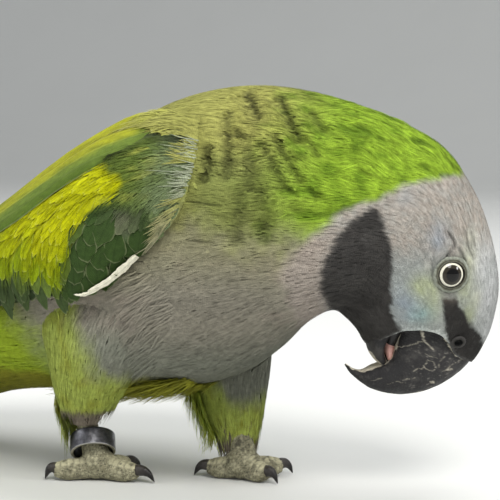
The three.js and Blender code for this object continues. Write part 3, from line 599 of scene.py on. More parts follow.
# Where each surface lies on the unwrap that skin and feathers share: low corner and size.
CHARTS = {
    "body": (0.01, 0.01, 0.58, 0.98),
    "wing_right": (0.61, 0.52, 0.17, 0.46), "wing_left": (0.80, 0.52, 0.17, 0.46),
    "thigh_right": (0.61, 0.32, 0.17, 0.17), "thigh_left": (0.80, 0.32, 0.17, 0.17),
    "foot_right": (0.61, 0.17, 0.17, 0.13), "foot_left": (0.80, 0.17, 0.17, 0.13),
    "tail": (0.61, 0.01, 0.17, 0.14), "lid_right": (0.80, 0.01, 0.08, 0.14), "lid_left": (0.90, 0.01, 0.08, 0.14),
}


def on_chart(name, across, along):
    """The place on the unwrap of a point given as shares across and along its chart."""
    x, y, width, height = CHARTS[name]
    return np.stack([x + width * np.clip(across, 0, 1), y + height * np.clip(along, 0, 1)], -1)


def build(name, points, quads, slot, bake=None, vane=None, **fields):
    """A mesh object of quads, from points in millimetres. bake and vane give a place on a map for
    each corner, and each further field a colour or a vector for each point."""
    points, quads = points.reshape(-1, 3), quads.reshape(-1, 4)
    mesh = bpy.data.meshes.new(name)
    mesh.vertices.add(len(points))
    mesh.vertices.foreach_set("co", ((points + SHIFT) * MM).astype(np.float32).ravel())
    mesh.loops.add(quads.size)
    mesh.loops.foreach_set("vertex_index", quads.astype(np.int32).ravel())
    mesh.polygons.add(len(quads))
    mesh.polygons.foreach_set("loop_start", np.arange(0, quads.size, 4, dtype=np.int32))
    mesh.update(calc_edges=True)
    for title, places in (("OFBake", bake), ("Vane", vane)):
        if places is not None:
            layer = mesh.uv_layers.new(name=title)
            layer.data.foreach_set("uv", places.astype(np.float32).ravel())
    for title, values in fields.items():
        kind, field = ("FLOAT_COLOR", "color") if title == "Col" else ("FLOAT_VECTOR", "vector")
        values = rgba(values) if title == "Col" else values
        layer = mesh.attributes.new(title, kind, "POINT")
        layer.data.foreach_set(field, values.astype(np.float32).ravel())
    mesh.polygons.foreach_set("use_smooth", np.ones(len(quads), bool))
    piece = bpy.data.objects.new(name, mesh)
    bpy.context.scene.collection.objects.link(piece)
    return piece


def dress(piece, material, *nodes):
    """Gives a piece its material and its body, and names the nodes that it takes the place of."""
    piece.data.materials.append(material)
    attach(piece, "root")
    if nodes:
        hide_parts(*nodes)
    return piece


def rgba(colour):
    """Colours with an alpha of 1 beside each."""
    return np.concatenate([colour, np.ones(colour.shape[:-1] + (1,))], -1)


def tube(rows, sides, close=True):
    """Corner grid of a tube of rows and sides, each corner as (row, side), with the side counted
    past the last where the tube closes."""
    i, j = np.meshgrid(np.arange(rows - 1), np.arange(sides if close else sides - 1), indexing="ij")
    corners = np.stack([np.stack([i, j], -1), np.stack([i, j + 1], -1), np.stack([i + 1, j + 1], -1),
                        np.stack([i + 1, j], -1)], -2)
    return corners.reshape(-1, 4, 2)


def outwards(points, index, places):
    """Quads and their places, turned about where the volume that they close comes out negative."""
    p = points.reshape(-1, 3)[index]
    if (p[:, 0] * np.cross(p[:, 1], p[:, 2]) + p[:, 0] * np.cross(p[:, 2], p[:, 3])).sum() < 0:
        index, places = index[:, ::-1], places[:, ::-1]
    return index, places


def looped(points):
    """Quads, and their places on a square, of a skin that closes on itself both ways."""
    rows, sides = points.shape[:2]
    corners = tube(rows + 1, sides)
    index = (corners[..., 0] % rows) * sides + corners[..., 1] % sides
    places = corners / [rows, sides]
    return outwards(points, index, places)


def closed(points, across=None, along=None, chart=None):
    """Quads, and their places on a chart, of a closed skin over a grid whose rows run round it.
    Each end is closed with a strip that joins every point to the one across from it."""
    rows, sides = points.shape[:2]
    corners = tube(rows, sides)
    if across is None:
        across = np.broadcast_to(np.arange(sides) / sides, (rows, sides))
        along = np.broadcast_to(np.linspace(0, 1, rows)[:, None], (rows, sides))
    across = np.concatenate([across, across[:, :1] + (1 if across.max() - across.min() > 0.5 else 0)], 1)
    along = np.concatenate([along, along[:, :1]], 1)
    index = corners[..., 0] * sides + corners[..., 1] % sides
    at = [(corners[..., 0], corners[..., 1])]
    for row, flip in ((0, False), (rows - 1, True)):
        j = np.arange(sides // 2 - 1)
        cap = np.stack([j, sides - 1 - j, sides - 2 - j, j + 1], -1)
        cap = cap[:, ::-1] if flip else cap
        index = np.concatenate([index, row * sides + cap])
        at.append((row + 0 * cap, cap))
    places = np.concatenate([np.stack([across[k], along[k]], -1) for k in at])
    if chart:
        places = on_chart(chart, places[..., 0], places[..., 1])
    return outwards(points, index, places)


def joined(parts):
    """One mesh's points, quads, places and colours from a list of them."""
    starts = np.cumsum([0] + [len(part[0]) for part in parts[:-1]])
    return (np.concatenate([part[0] for part in parts]),
            np.concatenate([part[1] + start for part, start in zip(parts, starts)]),
            np.concatenate([part[2] for part in parts]), np.concatenate([part[3] for part in parts]))


NUDGE = 1.5e-3                  # the step, in either count of a surface, that its slope is taken over


def tangents(surface, u, v):
    """Steps along both counts of a surface and its outward normal, by small differences."""
    du = (surface(u + NUDGE, v) - surface(u - NUDGE, v)) / (2 * NUDGE)
    dv = (surface(u, v + NUDGE) - surface(u, v - NUDGE)) / (2 * NUDGE)
    out = unit(np.cross(du, dv))
    out = out * np.sign((out * (surface(u, v, -0.5) - surface(u, v, 0.5))).sum(-1, keepdims=True))
    return du, dv, out


def thinned(points, room):
    """Indices of points taken in random order, each of which keeps others out of the room round it.
    A point with no room of its own is left out."""
    room = np.broadcast_to(room, len(points))
    tree = kdtree.KDTree(len(points))
    for i, p in enumerate(points):
        tree.insert(p, i)
    tree.balance()
    free, kept = room > 0, []
    for i in rng.permutation(len(points)):
        if free[i]:
            kept.append(i)
            for _, j, _ in tree.find_range(points[i], room[i]):
                free[j] = False
    return np.array(kept, int)


def scatter(surface, spacing, u_range, v_range, cells=(160, 160), crowd=5.0, thin=True):
    """Roots over a stretch of a surface: random places, as many as its area and the spacing call
    for, thinned so that no two are nearer than the spacing there."""
    u_edge, v_edge = np.linspace(*u_range, cells[0] + 1), np.linspace(*v_range, cells[1] + 1)
    u, v = np.meshgrid((u_edge[1:] + u_edge[:-1]) / 2, (v_edge[1:] + v_edge[:-1]) / 2, indexing="ij")
    u, v = u.ravel(), v.ravel()
    du, dv, _ = tangents(surface, u, v)
    area = np.linalg.norm(np.cross(du, dv), axis=-1) * (u_edge[1] - u_edge[0]) * (v_edge[1] - v_edge[0])
    room_at = spacing if callable(spacing) else lambda u, v, p: np.full(len(u), spacing)
    room = room_at(u, v, surface(u, v))
    wanted = np.where(room > 0, crowd * area / np.maximum(room, 1e-3) ** 2, 0)
    count = rng.poisson(wanted)
    u = np.repeat(u, count) + (rng.random(count.sum()) - 0.5) * (u_edge[1] - u_edge[0])
    v = np.repeat(v, count) + (rng.random(count.sum()) - 0.5) * (v_edge[1] - v_edge[0])
    points = surface(u, v)
    room = room_at(u, v, points)
    if not thin:
        return u[room > 0], v[room > 0]
    kept = thinned(points, room)
    return u[kept], v[kept]


# In plumes, dark is the share of a feather's colour left at its root: painted shade.
def plumes(name, surface, u, v, chart, colour, slot, *, length, width, sink, rise, turn=0.0, columns=5, rows=5,
           tip=0.35, ragged=0.12, camber=0.1, rim=0.0, belly=0.5, taper=0.75, material=None, share=None, dark=0.7,
           tone=0.09, own=True):
    """Many feathers as one mesh. Each starts at its root on a surface, sink deep, and runs along it
    against the first count, turned by an angle, rising to its tip. Its breadth swells and then
    narrows to the tip, whose edges are drawn back and ragged. It is coloured by the places it
    covers, or all over by one of them, and darkened towards its root as painted shade."""
    n = len(u)
    each = lambda value: np.broadcast_to(np.asarray(value, float), (n,)).copy()
    length, width, sink, rise, turn, rim, tone = map(each, (length, width, sink, rise, turn, rim, tone))
    root = on_chart(chart, *(share(u, v) if share else (v, u)))
    shares = np.linspace(0, 1, rows) ** 0.9
    q_before = 0.0
    side = np.linspace(-1, 1, columns)
    grid = np.zeros((n, rows, columns, 3))
    spread = np.interp(shares, [0, 0.12, belly, 1], [0.3, 0.62, 1.0, taper])
    if columns == 2:
        spread = np.linspace(1.0, 0.15, rows)
    jag = rng.random((n, 1, columns)) * ragged * (shares**4)[None, :, None] * 2
    back = (tip * side**2)[None, None, :] * (shares**3)[None, :, None] + jag
    uu, vv = u.copy(), v.copy()
    for k, q in enumerate(shares):
        du, dv, out = tangents(surface, uu, vv)
        ahead = -unit(du)
        beside = unit(dv - ahead * (dv * ahead).sum(-1, keepdims=True))
        way = ahead * np.cos(turn)[:, None] + beside * np.sin(turn)[:, None]
        step = (q - q_before) * length
        q_before = q
        if k:
            a, b, c = (du * du).sum(-1), (du * dv).sum(-1), (dv * dv).sum(-1)
            r1, r2 = (way * du).sum(-1), (way * dv).sum(-1)
            det = np.maximum(a * c - b * b, 1e-3)
            most_u = np.minimum(1.4 * step / np.sqrt(a + 1), 0.1)
            most_v = np.minimum(1.4 * step / np.sqrt(c + 1), 0.3)
            uu = uu + np.clip((c * r1 - b * r2) / det * step, -most_u, most_u)
            vv = vv + np.clip((a * r2 - b * r1) / det * step, -most_v, most_v)
        place = surface(uu, vv)
        across = np.cross(way, out)
        height = -sink + (sink + rise) * q**0.8
        half = width / 2 * spread[k]
        aside = side[None, :] * half[:, None]
        level = height[:, None] - camber * side[None, :] ** 2 * width[:, None] * (0.4 + 0.6 * q)
        grid[:, k] = (place[:, None] + across[:, None] * aside[..., None] + out[:, None] * level[..., None]
                      - way[:, None] * (back[:, k] * length[:, None])[..., None])
    tint = colour(grid[:, :, columns // 2]) if own else colour(grid[:, int(0.7 * rows)].mean(1))[:, None]
    tint = (tint * (1 + tone * rng.normal(size=n))[:, None, None])[:, :, None]
    # Painted shade: each feather darker towards its root, where the feathers lying over it shade it.
    shade = (dark + (1 - dark) * shares**0.7)[None, :, None, None]
    paint = np.clip(tint * shade, 0, 1) + np.zeros((n, rows, columns, 1))
    corners = tube(rows, columns, close=False)
    index = (np.arange(n) * rows * columns)[:, None, None] + corners[..., 0] * columns + corners[..., 1]
    i, j = corners[..., 0], corners[..., 1]
    patch = np.stack([side[j] / 2, shares[i] - 0.5], -1) * PATCH
    bake = root[:, None, None] + patch[None]
    vane = np.broadcast_to(np.stack([side[j] * 0.5 + 0.5, shares[i]], -1)[None], (n,) + patch.shape)
    sizes = np.stack([width, length, rim], -1)[:, None, None] + np.zeros((n, rows, columns, 3))
    return dress(build(name, grid, index, slot, bake, vane, Col=paint, Plume=sizes), material or FEATHER)


def vanes(name, surface, paths, width, heights, colour, slot, *, outline, rim=0.0, split=0.5, rows=20, columns=7,
          thick=0.16, camber=0.06, ragged=0.02, root_depth=-1.0, nodes=()):
    """Long feathers as closed blades, each along its own smooth path over a surface, given as
    places of both counts. The outline is a list of shares of the length and of the half width.
    The blade is thickest at its shaft, thin at its edges, and bows down to both sides."""
    n = len(paths)
    split = np.broadcast_to(split, n)[:, None]
    q = np.linspace(0, 1, rows) ** 0.92
    uv = np.stack([smooth(path, q) for path in np.asarray(paths, float)])
    u, v = uv[..., 0], uv[..., 1]
    _, _, out = tangents(surface, u, v)
    place = surface(u, v)
    way = unit(np.gradient(place, axis=1))
    across = np.cross(way, out)
    half = np.interp(q, *np.array(outline, float).T)[None, :] * np.reshape(width, (-1, 1)) / 2
    half = half * (1 + ragged * rng.normal(size=half.shape))
    side = np.linspace(-1, 1, columns)
    aside = side * np.where(side < 0, 2 * split, 2 * (1 - split))
    height = root_depth + (np.reshape(heights, (-1, 1)) - root_depth) * ramp(q, 0, 0.4)
    level = height[..., None] - camber * side**2 * half[..., None] * 2
    wall = thick * (1 - 0.75 * side**2) * np.clip(half[..., None], 0.3, 1)
    ridge = 0.12 * bell(side, 0.12) * (1 - 0.6 * q)[None, :, None]
    aside = (half[..., None] * aside[:, None])[..., None]
    top = place[:, :, None] + across[:, :, None] * aside + out[:, :, None] * (level + ridge)[..., None]
    low = top - out[:, :, None] * (wall + ridge * 0.5)[..., None]
    grid = np.concatenate([top, low[:, :, ::-1]], 2)
    grid[..., 2] = np.maximum(grid[..., 2], 0.1)
    sides = 2 * columns
    quads, places = closed(grid[0])
    first = grid[0].reshape(-1, 3)[quads[0]]
    want = out[0, 0]
    if (np.cross(first[1] - first[0], first[2] - first[0]) * want).sum() < 0:
        quads, places = quads[:, ::-1], places[:, ::-1]
    index = (np.arange(n) * rows * sides)[:, None, None] + quads
    bake = (places[None] * 0.96 + 0.02 + np.stack([np.arange(n), 0 * np.arange(n)], -1)[:, None, None]) / [n, 1]
    both = np.concatenate([side, side[::-1]])
    vane = np.stack(np.broadcast_arrays(both * 0.5 + 0.5, q[:, None]), -1)
    web = both * np.where(split[:, None] > 0.5, -1, 1)
    paint = colour(grid, *(np.broadcast_to(x, grid.shape[:3]) for x in (web, q[:, None])))
    paint = paint * (1 + 0.05 * rng.normal(size=(n, 1, 1, 1)))
    under = np.concatenate([np.ones(columns), np.full(columns, 0.6)])[:, None]
    sizes = np.stack(np.broadcast_arrays(np.reshape(width, (-1, 1, 1)),
                                         np.linalg.norm(np.diff(place, axis=1), axis=-1).sum(1)[:, None, None],
                                         np.reshape(rim, (-1, 1, 1)) + np.zeros(grid.shape[:3])), -1)
    loops = np.broadcast_to(vane, (n,) + vane.shape).reshape(-1, 2)[index.reshape(-1)]
    made = build(name, grid, index, slot, bake, loops, Col=np.clip(paint * under, 0, 1), Plume=sizes)
    return dress(made, STIFF_FEATHER, *nodes)


def barbs(name, surface, room, u_range, v_range, chart, colour, slot, *, length, width, lift, share, lean=None,
          stray=0.15, tone=0.07, rows=4, **more):
    """Loose barbs over a coat: narrow pointed strips, strewn evenly and lying along the feathers."""
    u, v = scatter(surface, room, u_range, v_range, crowd=1.0, thin=False)
    n, p = len(u), surface(u, v)
    spread = lambda size, part: (size(u, v, p) if callable(size) else size) * (1 + part * rng.uniform(-1, 1, n))
    turn = stray * rng.normal(size=n) + (lean(u, v, p) if lean else 0)
    high = spread(lift, 0.6)
    # Each barb keeps 0.9 of its colour at its root: painted shade.
    return plumes(name, surface, u, v, chart, colour, slot, length=spread(length, 0.35), width=spread(width, 0.3),
                  sink=-high * 0.2, rise=high, turn=turn, columns=2, rows=rows, tip=0.0, ragged=0.0, camber=0.0,
                  share=share, dark=0.9, tone=tone(p) if callable(tone) else tone, **more)


# ---- Materials -------------------------------------------


class Shader:
    """A node material put together by short calls."""

    def __init__(self, name, **values):
        self.material = bpy.data.materials.new(name)
        self.material.use_nodes = True
        self.tree = self.material.node_tree
        self.surface = self.tree.nodes["Principled BSDF"]
        for key, value in values.items():
            self.surface.inputs[key.replace("_", " ")].default_value = value

    def node(self, kind, inputs=None, **settings):
        """A node with its inputs linked or set."""
        node = self.tree.nodes.new(kind)
        for key, value in settings.items():
            setattr(node, key, value)
        for key, value in (inputs or {}).items():
            if isinstance(value, bpy.types.NodeSocket):
                self.tree.links.new(value, node.inputs[key])
            else:
                node.inputs[key].default_value = value
        return node

    def math(self, operation, a, b=0.0, c=0.0):
        """The result of a sum, product or other operation."""
        return self.node("ShaderNodeMath", {0: a, 1: b, 2: c}, operation=operation).outputs[0]

    def ramp(self, value, low, high, to_low=0.0, to_high=1.0):
        """The value mapped from one range to another, held at its ends."""
        return self.node("ShaderNodeMapRange", {0: value, 1: low, 2: high, 3: to_low, 4: to_high},
                         clamp=True).outputs[0]

    def mix(self, share, a, b, blend="MIX"):
        """Colour a with a share of colour b."""
        node = self.node("ShaderNodeMix", {0: share, 6: a, 7: b}, data_type="RGBA", blend_type=blend)
        return node.outputs[2]

    def attribute(self, name, output="Color"):
        """A value stored with the mesh's points."""
        return self.node("ShaderNodeAttribute", attribute_name=name).outputs[output]

    def place(self):
        """The place on the object in metres."""
        return self.node("ShaderNodeTexCoord").outputs["Object"]

    def noise(self, scale, detail=3.0, vector=None, output=0, **more):
        """Cloudy values from 0 to 1, scale waves to the metre."""
        return self.node("ShaderNodeTexNoise",
                         {"Vector": vector or self.place(), "Scale": scale, "Detail": detail},
                         **more).outputs[output]

    def bump(self, height, strength, distance):
        """Relief on the surface, distance deep in metres."""
        made = self.node("ShaderNodeBump", {"Height": height, "Strength": strength, "Distance": distance})
        self.tree.links.new(made.outputs[0], self.surface.inputs["Normal"])

    def set(self, key, value):
        """Links a value to the surface."""
        self.tree.links.new(value, self.surface.inputs[key])


def colour4(colour):
    """A colour as a socket takes it, with its alpha."""
    return (*(float(c) for c in colour), 1.0)


def feather_material(name, barb, roughness, sheen):
    """Barbs slant from the shaft to the edge, a rim runs round the vane, and the shaft shows."""
    s = Shader(name, Roughness=roughness, Sheen_Weight=sheen, Sheen_Roughness=0.5)
    s.surface.inputs["Specular IOR Level"].default_value = 0.1
    vane = s.node("ShaderNodeSeparateXYZ", {0: s.node("ShaderNodeUVMap", uv_map="Vane").outputs[0]})
    size = s.node("ShaderNodeSeparateXYZ", {0: s.attribute("Plume", "Vector")})
    aside = s.math("ABSOLUTE", s.math("SUBTRACT", vane.outputs[0], 0.5))
    across = s.math("MULTIPLY", aside, size.outputs[0])
    along = s.math("MULTIPLY", vane.outputs[1], size.outputs[1])
    slant = s.math("SUBTRACT", along, s.math("MULTIPLY", across, 1.5))
    wander = s.noise(420.0, 2.0)
    barbs = s.math("SINE", s.math("ADD", s.math("MULTIPLY", slant, 6.2832 / barb),
                                  s.math("MULTIPLY", wander, 9.0)))
    edge = s.math("MAXIMUM", s.ramp(aside, 0.42, 0.5), s.ramp(vane.outputs[1], 0.92, 1.0))
    shaft = s.ramp(across, 0.1, 0.22, 1.0, 0.0)
    base = s.attribute("Col")
    lifted = s.mix(s.math("MULTIPLY", edge, size.outputs[2]), base, colour4(linear(226, 226, 180)))
    grain = s.math("ADD", 0.96, s.math("MULTIPLY", barbs, 0.13))
    fleck = s.ramp(s.noise(900.0, 2.0), 0.3, 0.7, 0.86, 1.14)
    shafted = s.math("MULTIPLY", s.math("MULTIPLY", grain, fleck),
                     s.math("SUBTRACT", 1.0, s.math("MULTIPLY", shaft, 0.16)))
    tinted = s.mix(1.0, lifted, s.node("ShaderNodeCombineXYZ", {0: shafted, 1: shafted, 2: shafted}).outputs[0],
                   "MULTIPLY")
    s.set("Base Color", tinted)
    s.bump(barbs, 0.35, 0.00012)
    return s.material


FEATHER = feather_material("feather", 0.5, 0.75, 0.0)
STIFF_FEATHER = feather_material("stiff_feather", 0.55, 0.62, 0.0)


def skin_material():
    """Matt skin in the markings' colours, with fine grain in its colour and its surface."""
    s = Shader("skin", Roughness=0.7)
    s.surface.inputs["Specular IOR Level"].default_value = 0.25
    fine = s.noise(1500.0, 4.0)
    s.set("Base Color", s.mix(1.0, s.attribute("Col"), s.node("ShaderNodeCombineXYZ", {
        k: s.ramp(fine, 0.3, 0.7, 0.7, 1.2) for k in range(3)}).outputs[0], "MULTIPLY"))
    s.bump(fine, 0.5, 0.0003)
    return s.material


SKIN = skin_material()


# ---- Feet ------------------------------------------------

# Toes: heading from straight ahead to the left, in degrees, reach on the floor, and claw length.
FEET = {
    "right": {"ball": (-13.6, -12.4), "ankle": (-15.2, -12.6, 8.6), "knee": (-17.4, -13.4, 16.5),
              "toes": [(6, 9.8, 4.6), (68, 8.0, 4.0), (146, 7.0, 3.6), (216, 10.2, 2.2)]},
    "left": {"ball": (17.4, 4.2), "ankle": (17.0, 4.6, 8.4), "knee": (14.8, 7.6, 13.0),
             "toes": [(-12, 7.0, 3.2), (46, 9.2, 3.0), (198, 8.2, 3.4), (138, 8.6, 4.0)]},
}
FOOT_PALE, FOOT_DARK, FOOT_LINE = linear(176, 172, 142), linear(112, 108, 84), linear(46, 44, 36)


def remeshed(grids, cell, rounds):
    """The points and quads of one even skin over several closed rods, their joins smoothed."""
    parts = [(g.reshape(-1, 3), *closed(g), np.zeros((g.shape[0] * g.shape[1], 3))) for g in grids]
    points, quads, places, _ = joined(parts)
    rough = build("rough", points, quads, None, places)
    made = rough.modifiers.new("even", "REMESH")
    made.mode, made.voxel_size = "VOXEL", cell * MM
    soft = rough.modifiers.new("soft", "SMOOTH")
    soft.factor, soft.iterations = 0.5, rounds
    mesh = rough.evaluated_get(bpy.context.evaluated_depsgraph_get()).to_mesh()
    points = np.zeros(len(mesh.vertices) * 3, np.float32)
    mesh.vertices.foreach_get("co", points)
    quads = np.zeros(len(mesh.loops), np.int32)
    mesh.loops.foreach_get("vertex_index", quads)
    sizes = np.zeros(len(mesh.polygons), np.int32)
    mesh.polygons.foreach_get("loop_total", sizes)
    assert (sizes == 4).all()
    bpy.data.objects.remove(rough)
    return points.reshape(-1, 3).astype(float) / MM - SHIFT, quads.reshape(-1, 4)


def normals_of(points, quads):
    """The outward normal at each point: the sum of its faces' own."""
    p = points[quads]
    face = np.cross(p[:, 2] - p[:, 0], p[:, 3] - p[:, 1])
    total = np.zeros_like(points)
    for k in range(4):
        np.add.at(total, quads[:, k], face)
    return unit(total)


def foot_part(name):
    """A foot and its shank: fleshy toes with pads, covered in pebbled scales, with broad scutes
    across the top of each toe. Each scale is the set of places nearer to its middle than to any
    other, raised, and set off by dark grooves."""
    foot = FEET[name]
    ball = np.array([*foot["ball"], 3.6])
    ankle, knee = np.array(foot["ankle"]), np.array(foot["knee"])
    shank = [ball, (ball + ankle) / 2, ankle, (ankle + knee) / 2, knee + [0, 0, 2]]
    sole = [ball + [-3.4, 0, -0.2], ball + [0, 0, 0.2], ball + [3.4, 0, -0.2]]
    grids = [rod(sole, [3.0, 4.4, 3.0], 14, 20, 0.85), rod(shank, [3.9, 3.25, 2.75, 2.4, 2.5], 26, 20)]
    tops = []
    for heading, reach, _ in foot["toes"]:
        way = np.array([np.cos(np.radians(heading)), np.sin(np.radians(heading)), 0])
        root = np.array([*foot["ball"], 3.35])
        path = [root, root + way * reach * 0.45 + [0, 0, -0.7], root + way * reach * 0.75 + [0, 0, -0.9],
                root + way * (reach + 0.5) + [0, 0, -0.75]]
        grids.append(rod(path, [3.2, 2.75, 2.65, 1.7], 22, 18, 0.92))
        for share in (0.36, 0.86):
            pad = root + way * reach * share + [0, 0, -1.35]
            grids.append(rod([pad - way * 1.6, pad, pad + way * 1.6], [1.0, 2.35, 1.0], 10, 14, 0.7))
        tops.append((root, way, reach))
    points, quads = remeshed(grids, 0.27, 4)
    out = normals_of(points, quads)
    seeds = points[thinned(points, 0.66)]
    near = np.zeros((len(points), 2))
    owner = np.zeros(len(points), int)
    for part in np.array_split(np.arange(len(points)), len(points) // 2000 + 1):
        away = np.linalg.norm(points[part, None] - seeds[None], axis=-1)
        owner[part] = away.argmin(1)
        near[part] = np.partition(away, 1, axis=1)[:, :2]
    groove = near[:, 1] - near[:, 0]
    scale_tone = owner * 0.618 % 1
    top = np.zeros(len(points))
    ring_wave = np.zeros(len(points))
    for root, way, reach in tops:
        along = (points - root) @ way
        aside = np.linalg.norm((points - root - along[:, None] * way)[:, :2], axis=1)
        on = ramp(out[:, 2], 0.35, 0.7) * ramp(2.4 - aside, 0, 0.5)
        on = on * ramp(along, reach * 0.3, reach * 0.45) * ramp(reach + 2 - along, 0, 1)
        wave = np.abs((along / 1.55) % 1 - 0.5) * 2
        ring_wave = np.where(on > top, 1 - ramp(wave, 0.72, 0.98), ring_wave)
        top = np.maximum(top, on)
    cell = ramp(groove, 0.02, 0.3)
    height = 0.16 * cell * (1 - top) + 0.2 * ring_wave * top
    points = points + out * height[:, None] * ramp(points[:, 2], -0.2, 0.6)[:, None]
    points[:, 2] = np.maximum(points[:, 2], 0.02)
    tone = mix(FOOT_DARK, FOOT_PALE, np.clip(0.35 + 0.5 * scale_tone + 0.25 * noise(points, 2.5, 21), 0, 1))
    tone = mix(tone, FOOT_PALE * 1.12, 0.8 * top)
    tone = mix(tone, FOOT_LINE, 0.45 * (1 - (cell * (1 - top) + ring_wave * top)))
    tone = mix(tone, FOOT_LINE, 0.8 * ramp(0.28 - near[:, 0], 0, 0.12) * (scale_tone * 7 % 1 < 0.6) * (1 - top))
    tone = mix(tone, FOOT_LINE * 1.6, 0.7 * ramp(noise(points, 1.1, 22) + 0.25 * noise(points, 4, 23), 0.35, 0.8)
               * ramp(points[:, 2], 1.5, 5))
    # Painted shade: the left foot is painted darker than the right, though both have the same skin.
    tone = tone * (0.84 if name == "left" else 0.95)
    a = np.arctan2(points[:, 1] - ball[1], points[:, 0] - ball[0]) / (2 * np.pi) + 0.5
    across = a[quads]
    across = np.where((across.max(1, keepdims=True) - across > 0.5), across + 1, across)
    far = np.hypot(points[:, 0] - ball[0], points[:, 1] - ball[1]) * np.where(out[:, 2] < -0.2, -1, 1)
    along = np.clip((far + 16) / 46 + np.where(out[:, 2] < -0.2, 0, points[:, 2] / 60), 0, 1)[quads]
    return points, quads, on_chart(f"foot_{name}", across, along), tone


# ---- Skin ------------------------------------------------


def coat_depth(t):
    """How far the skin lies under the tips of the coat along the body."""
    return np.interp(t, [ring(3), ring(5), ring(12), ring(14.5), ring(17), 1.0], [0.8, 0.6, 0.42, 0.2, 0.12, 0.1])


def body_grid(rows=260, sides=180):
    """The body's skin, denser towards the head, ending at the edge of the face feathers."""
    along = np.linspace(0, 1, rows)
    along = np.interp(along, [0, 0.42, 0.62, 1], [0, 0.62, 0.8, 1])
    a = circle(sides)
    first = ring(2)
    t = first + (face_end(a)[None, :] - first) * along[:, None]
    a = a[None, :] + 0 * t
    return t, a, body(t, a, coat_depth(t))


def skin_part(points, colour, chart, across=None, along=None):
    """A closed part of the skin: its points, quads, places on its chart and colours."""
    quads, places = closed(points, across, along, chart)
    flat = points.reshape(-1, 3)
    return flat, quads, places, colour(flat)


def wing_part(name):
    """A wing's flesh: its outer face under the coverts, its inner face, and a rounded bend."""
    t, v = np.meshgrid(np.linspace(0, 0.97, 56), np.linspace(0, 1, 26), indexing="ij")
    depth = smooth(WING_DEPTH, t)[..., 0]
    blunt = 3.2 * (1 - np.sqrt(1 - np.clip(1 - t / 0.05, 0, 1) ** 2))
    edge = 0.8 * ramp(np.abs(2 * v - 1), 0.8, 1.0) * ramp(depth, 1.5, 6)
    outer = WINGS[name](t, v, np.interp(t, [0, 0.6, 1], [0.35, 0.35, 0.3]) + blunt + edge)
    inner = WINGS[name](t, v, depth - 0.35 - blunt)
    points = np.concatenate([outer, inner[:, ::-1]], 1)
    across = np.concatenate([v / 2, 1 - v[:, ::-1] / 2], 1)
    rim = np.concatenate([ramp(0.04 - t, 0, 0.03), ramp(0.2 - t, 0, 0.1)], 1).ravel()
    colour = lambda flat: mix(wing_colour(flat), body_colour(flat), rim)
    return skin_part(points, colour, f"wing_{name}", across, np.concatenate([t, t], 1))


def thigh_part(name):
    """A thigh's flesh, drawn in under the feathers, most of all where they end."""
    t, a = np.meshgrid(np.linspace(0, 1, 30), circle(40), indexing="ij")
    depths = [0.3, 0.3, 2.3, 1.4] if name == "right" else [0.3, 0.3, 0.4, 0.6]
    points = THIGHS[name](t, a, np.interp(t, [0, 0.6, 0.78, 1], depths))
    return skin_part(points, thigh_colour, f"thigh_{name}", a / (2 * np.pi) + 0.5, t)


def make_skin():
    """The bird's whole skin as one piece: body, wings, thighs and feet."""
    t, a, points = body_grid()
    parts = [skin_part(points, body_colour, "body", a / (2 * np.pi) + 0.5, t)]
    for name in SIDES:
        parts += [wing_part(name), thigh_part(name), foot_part(name)]
    points, quads, places, colour = joined(parts)
    dress(build("skin", points, quads, "foot_skin", places, Col=colour), SKIN, "head", "neck", "trunk",
          "tail_coverts", *(f"{part}_{name}" for part in ("wing", "thigh", "tarsus", "foot") for name in SIDES))


make_skin()

# ---- Body feathers ---------------------------------------


def body_share(t, a):
    """The shares across and along the body's chart."""
    return a / (2 * np.pi) + 0.5, t


def under_wing(points):
    """Whether a place on the body lies well under a folded wing."""
    x, z, w = points[..., 0], points[..., 2], np.abs(points[..., 1])
    low = np.interp(-x, [-20, -12, 3, 19, 48, 85, 112], [62, 56, 52, 47, 42, 33, 26])
    high = np.interp(-x, [-20, -2, 21, 48, 85, 112], [86, 84, 77, 62, 42, 30])
    return (x < 14) & (z > low) & (z < high) & (w > 5)


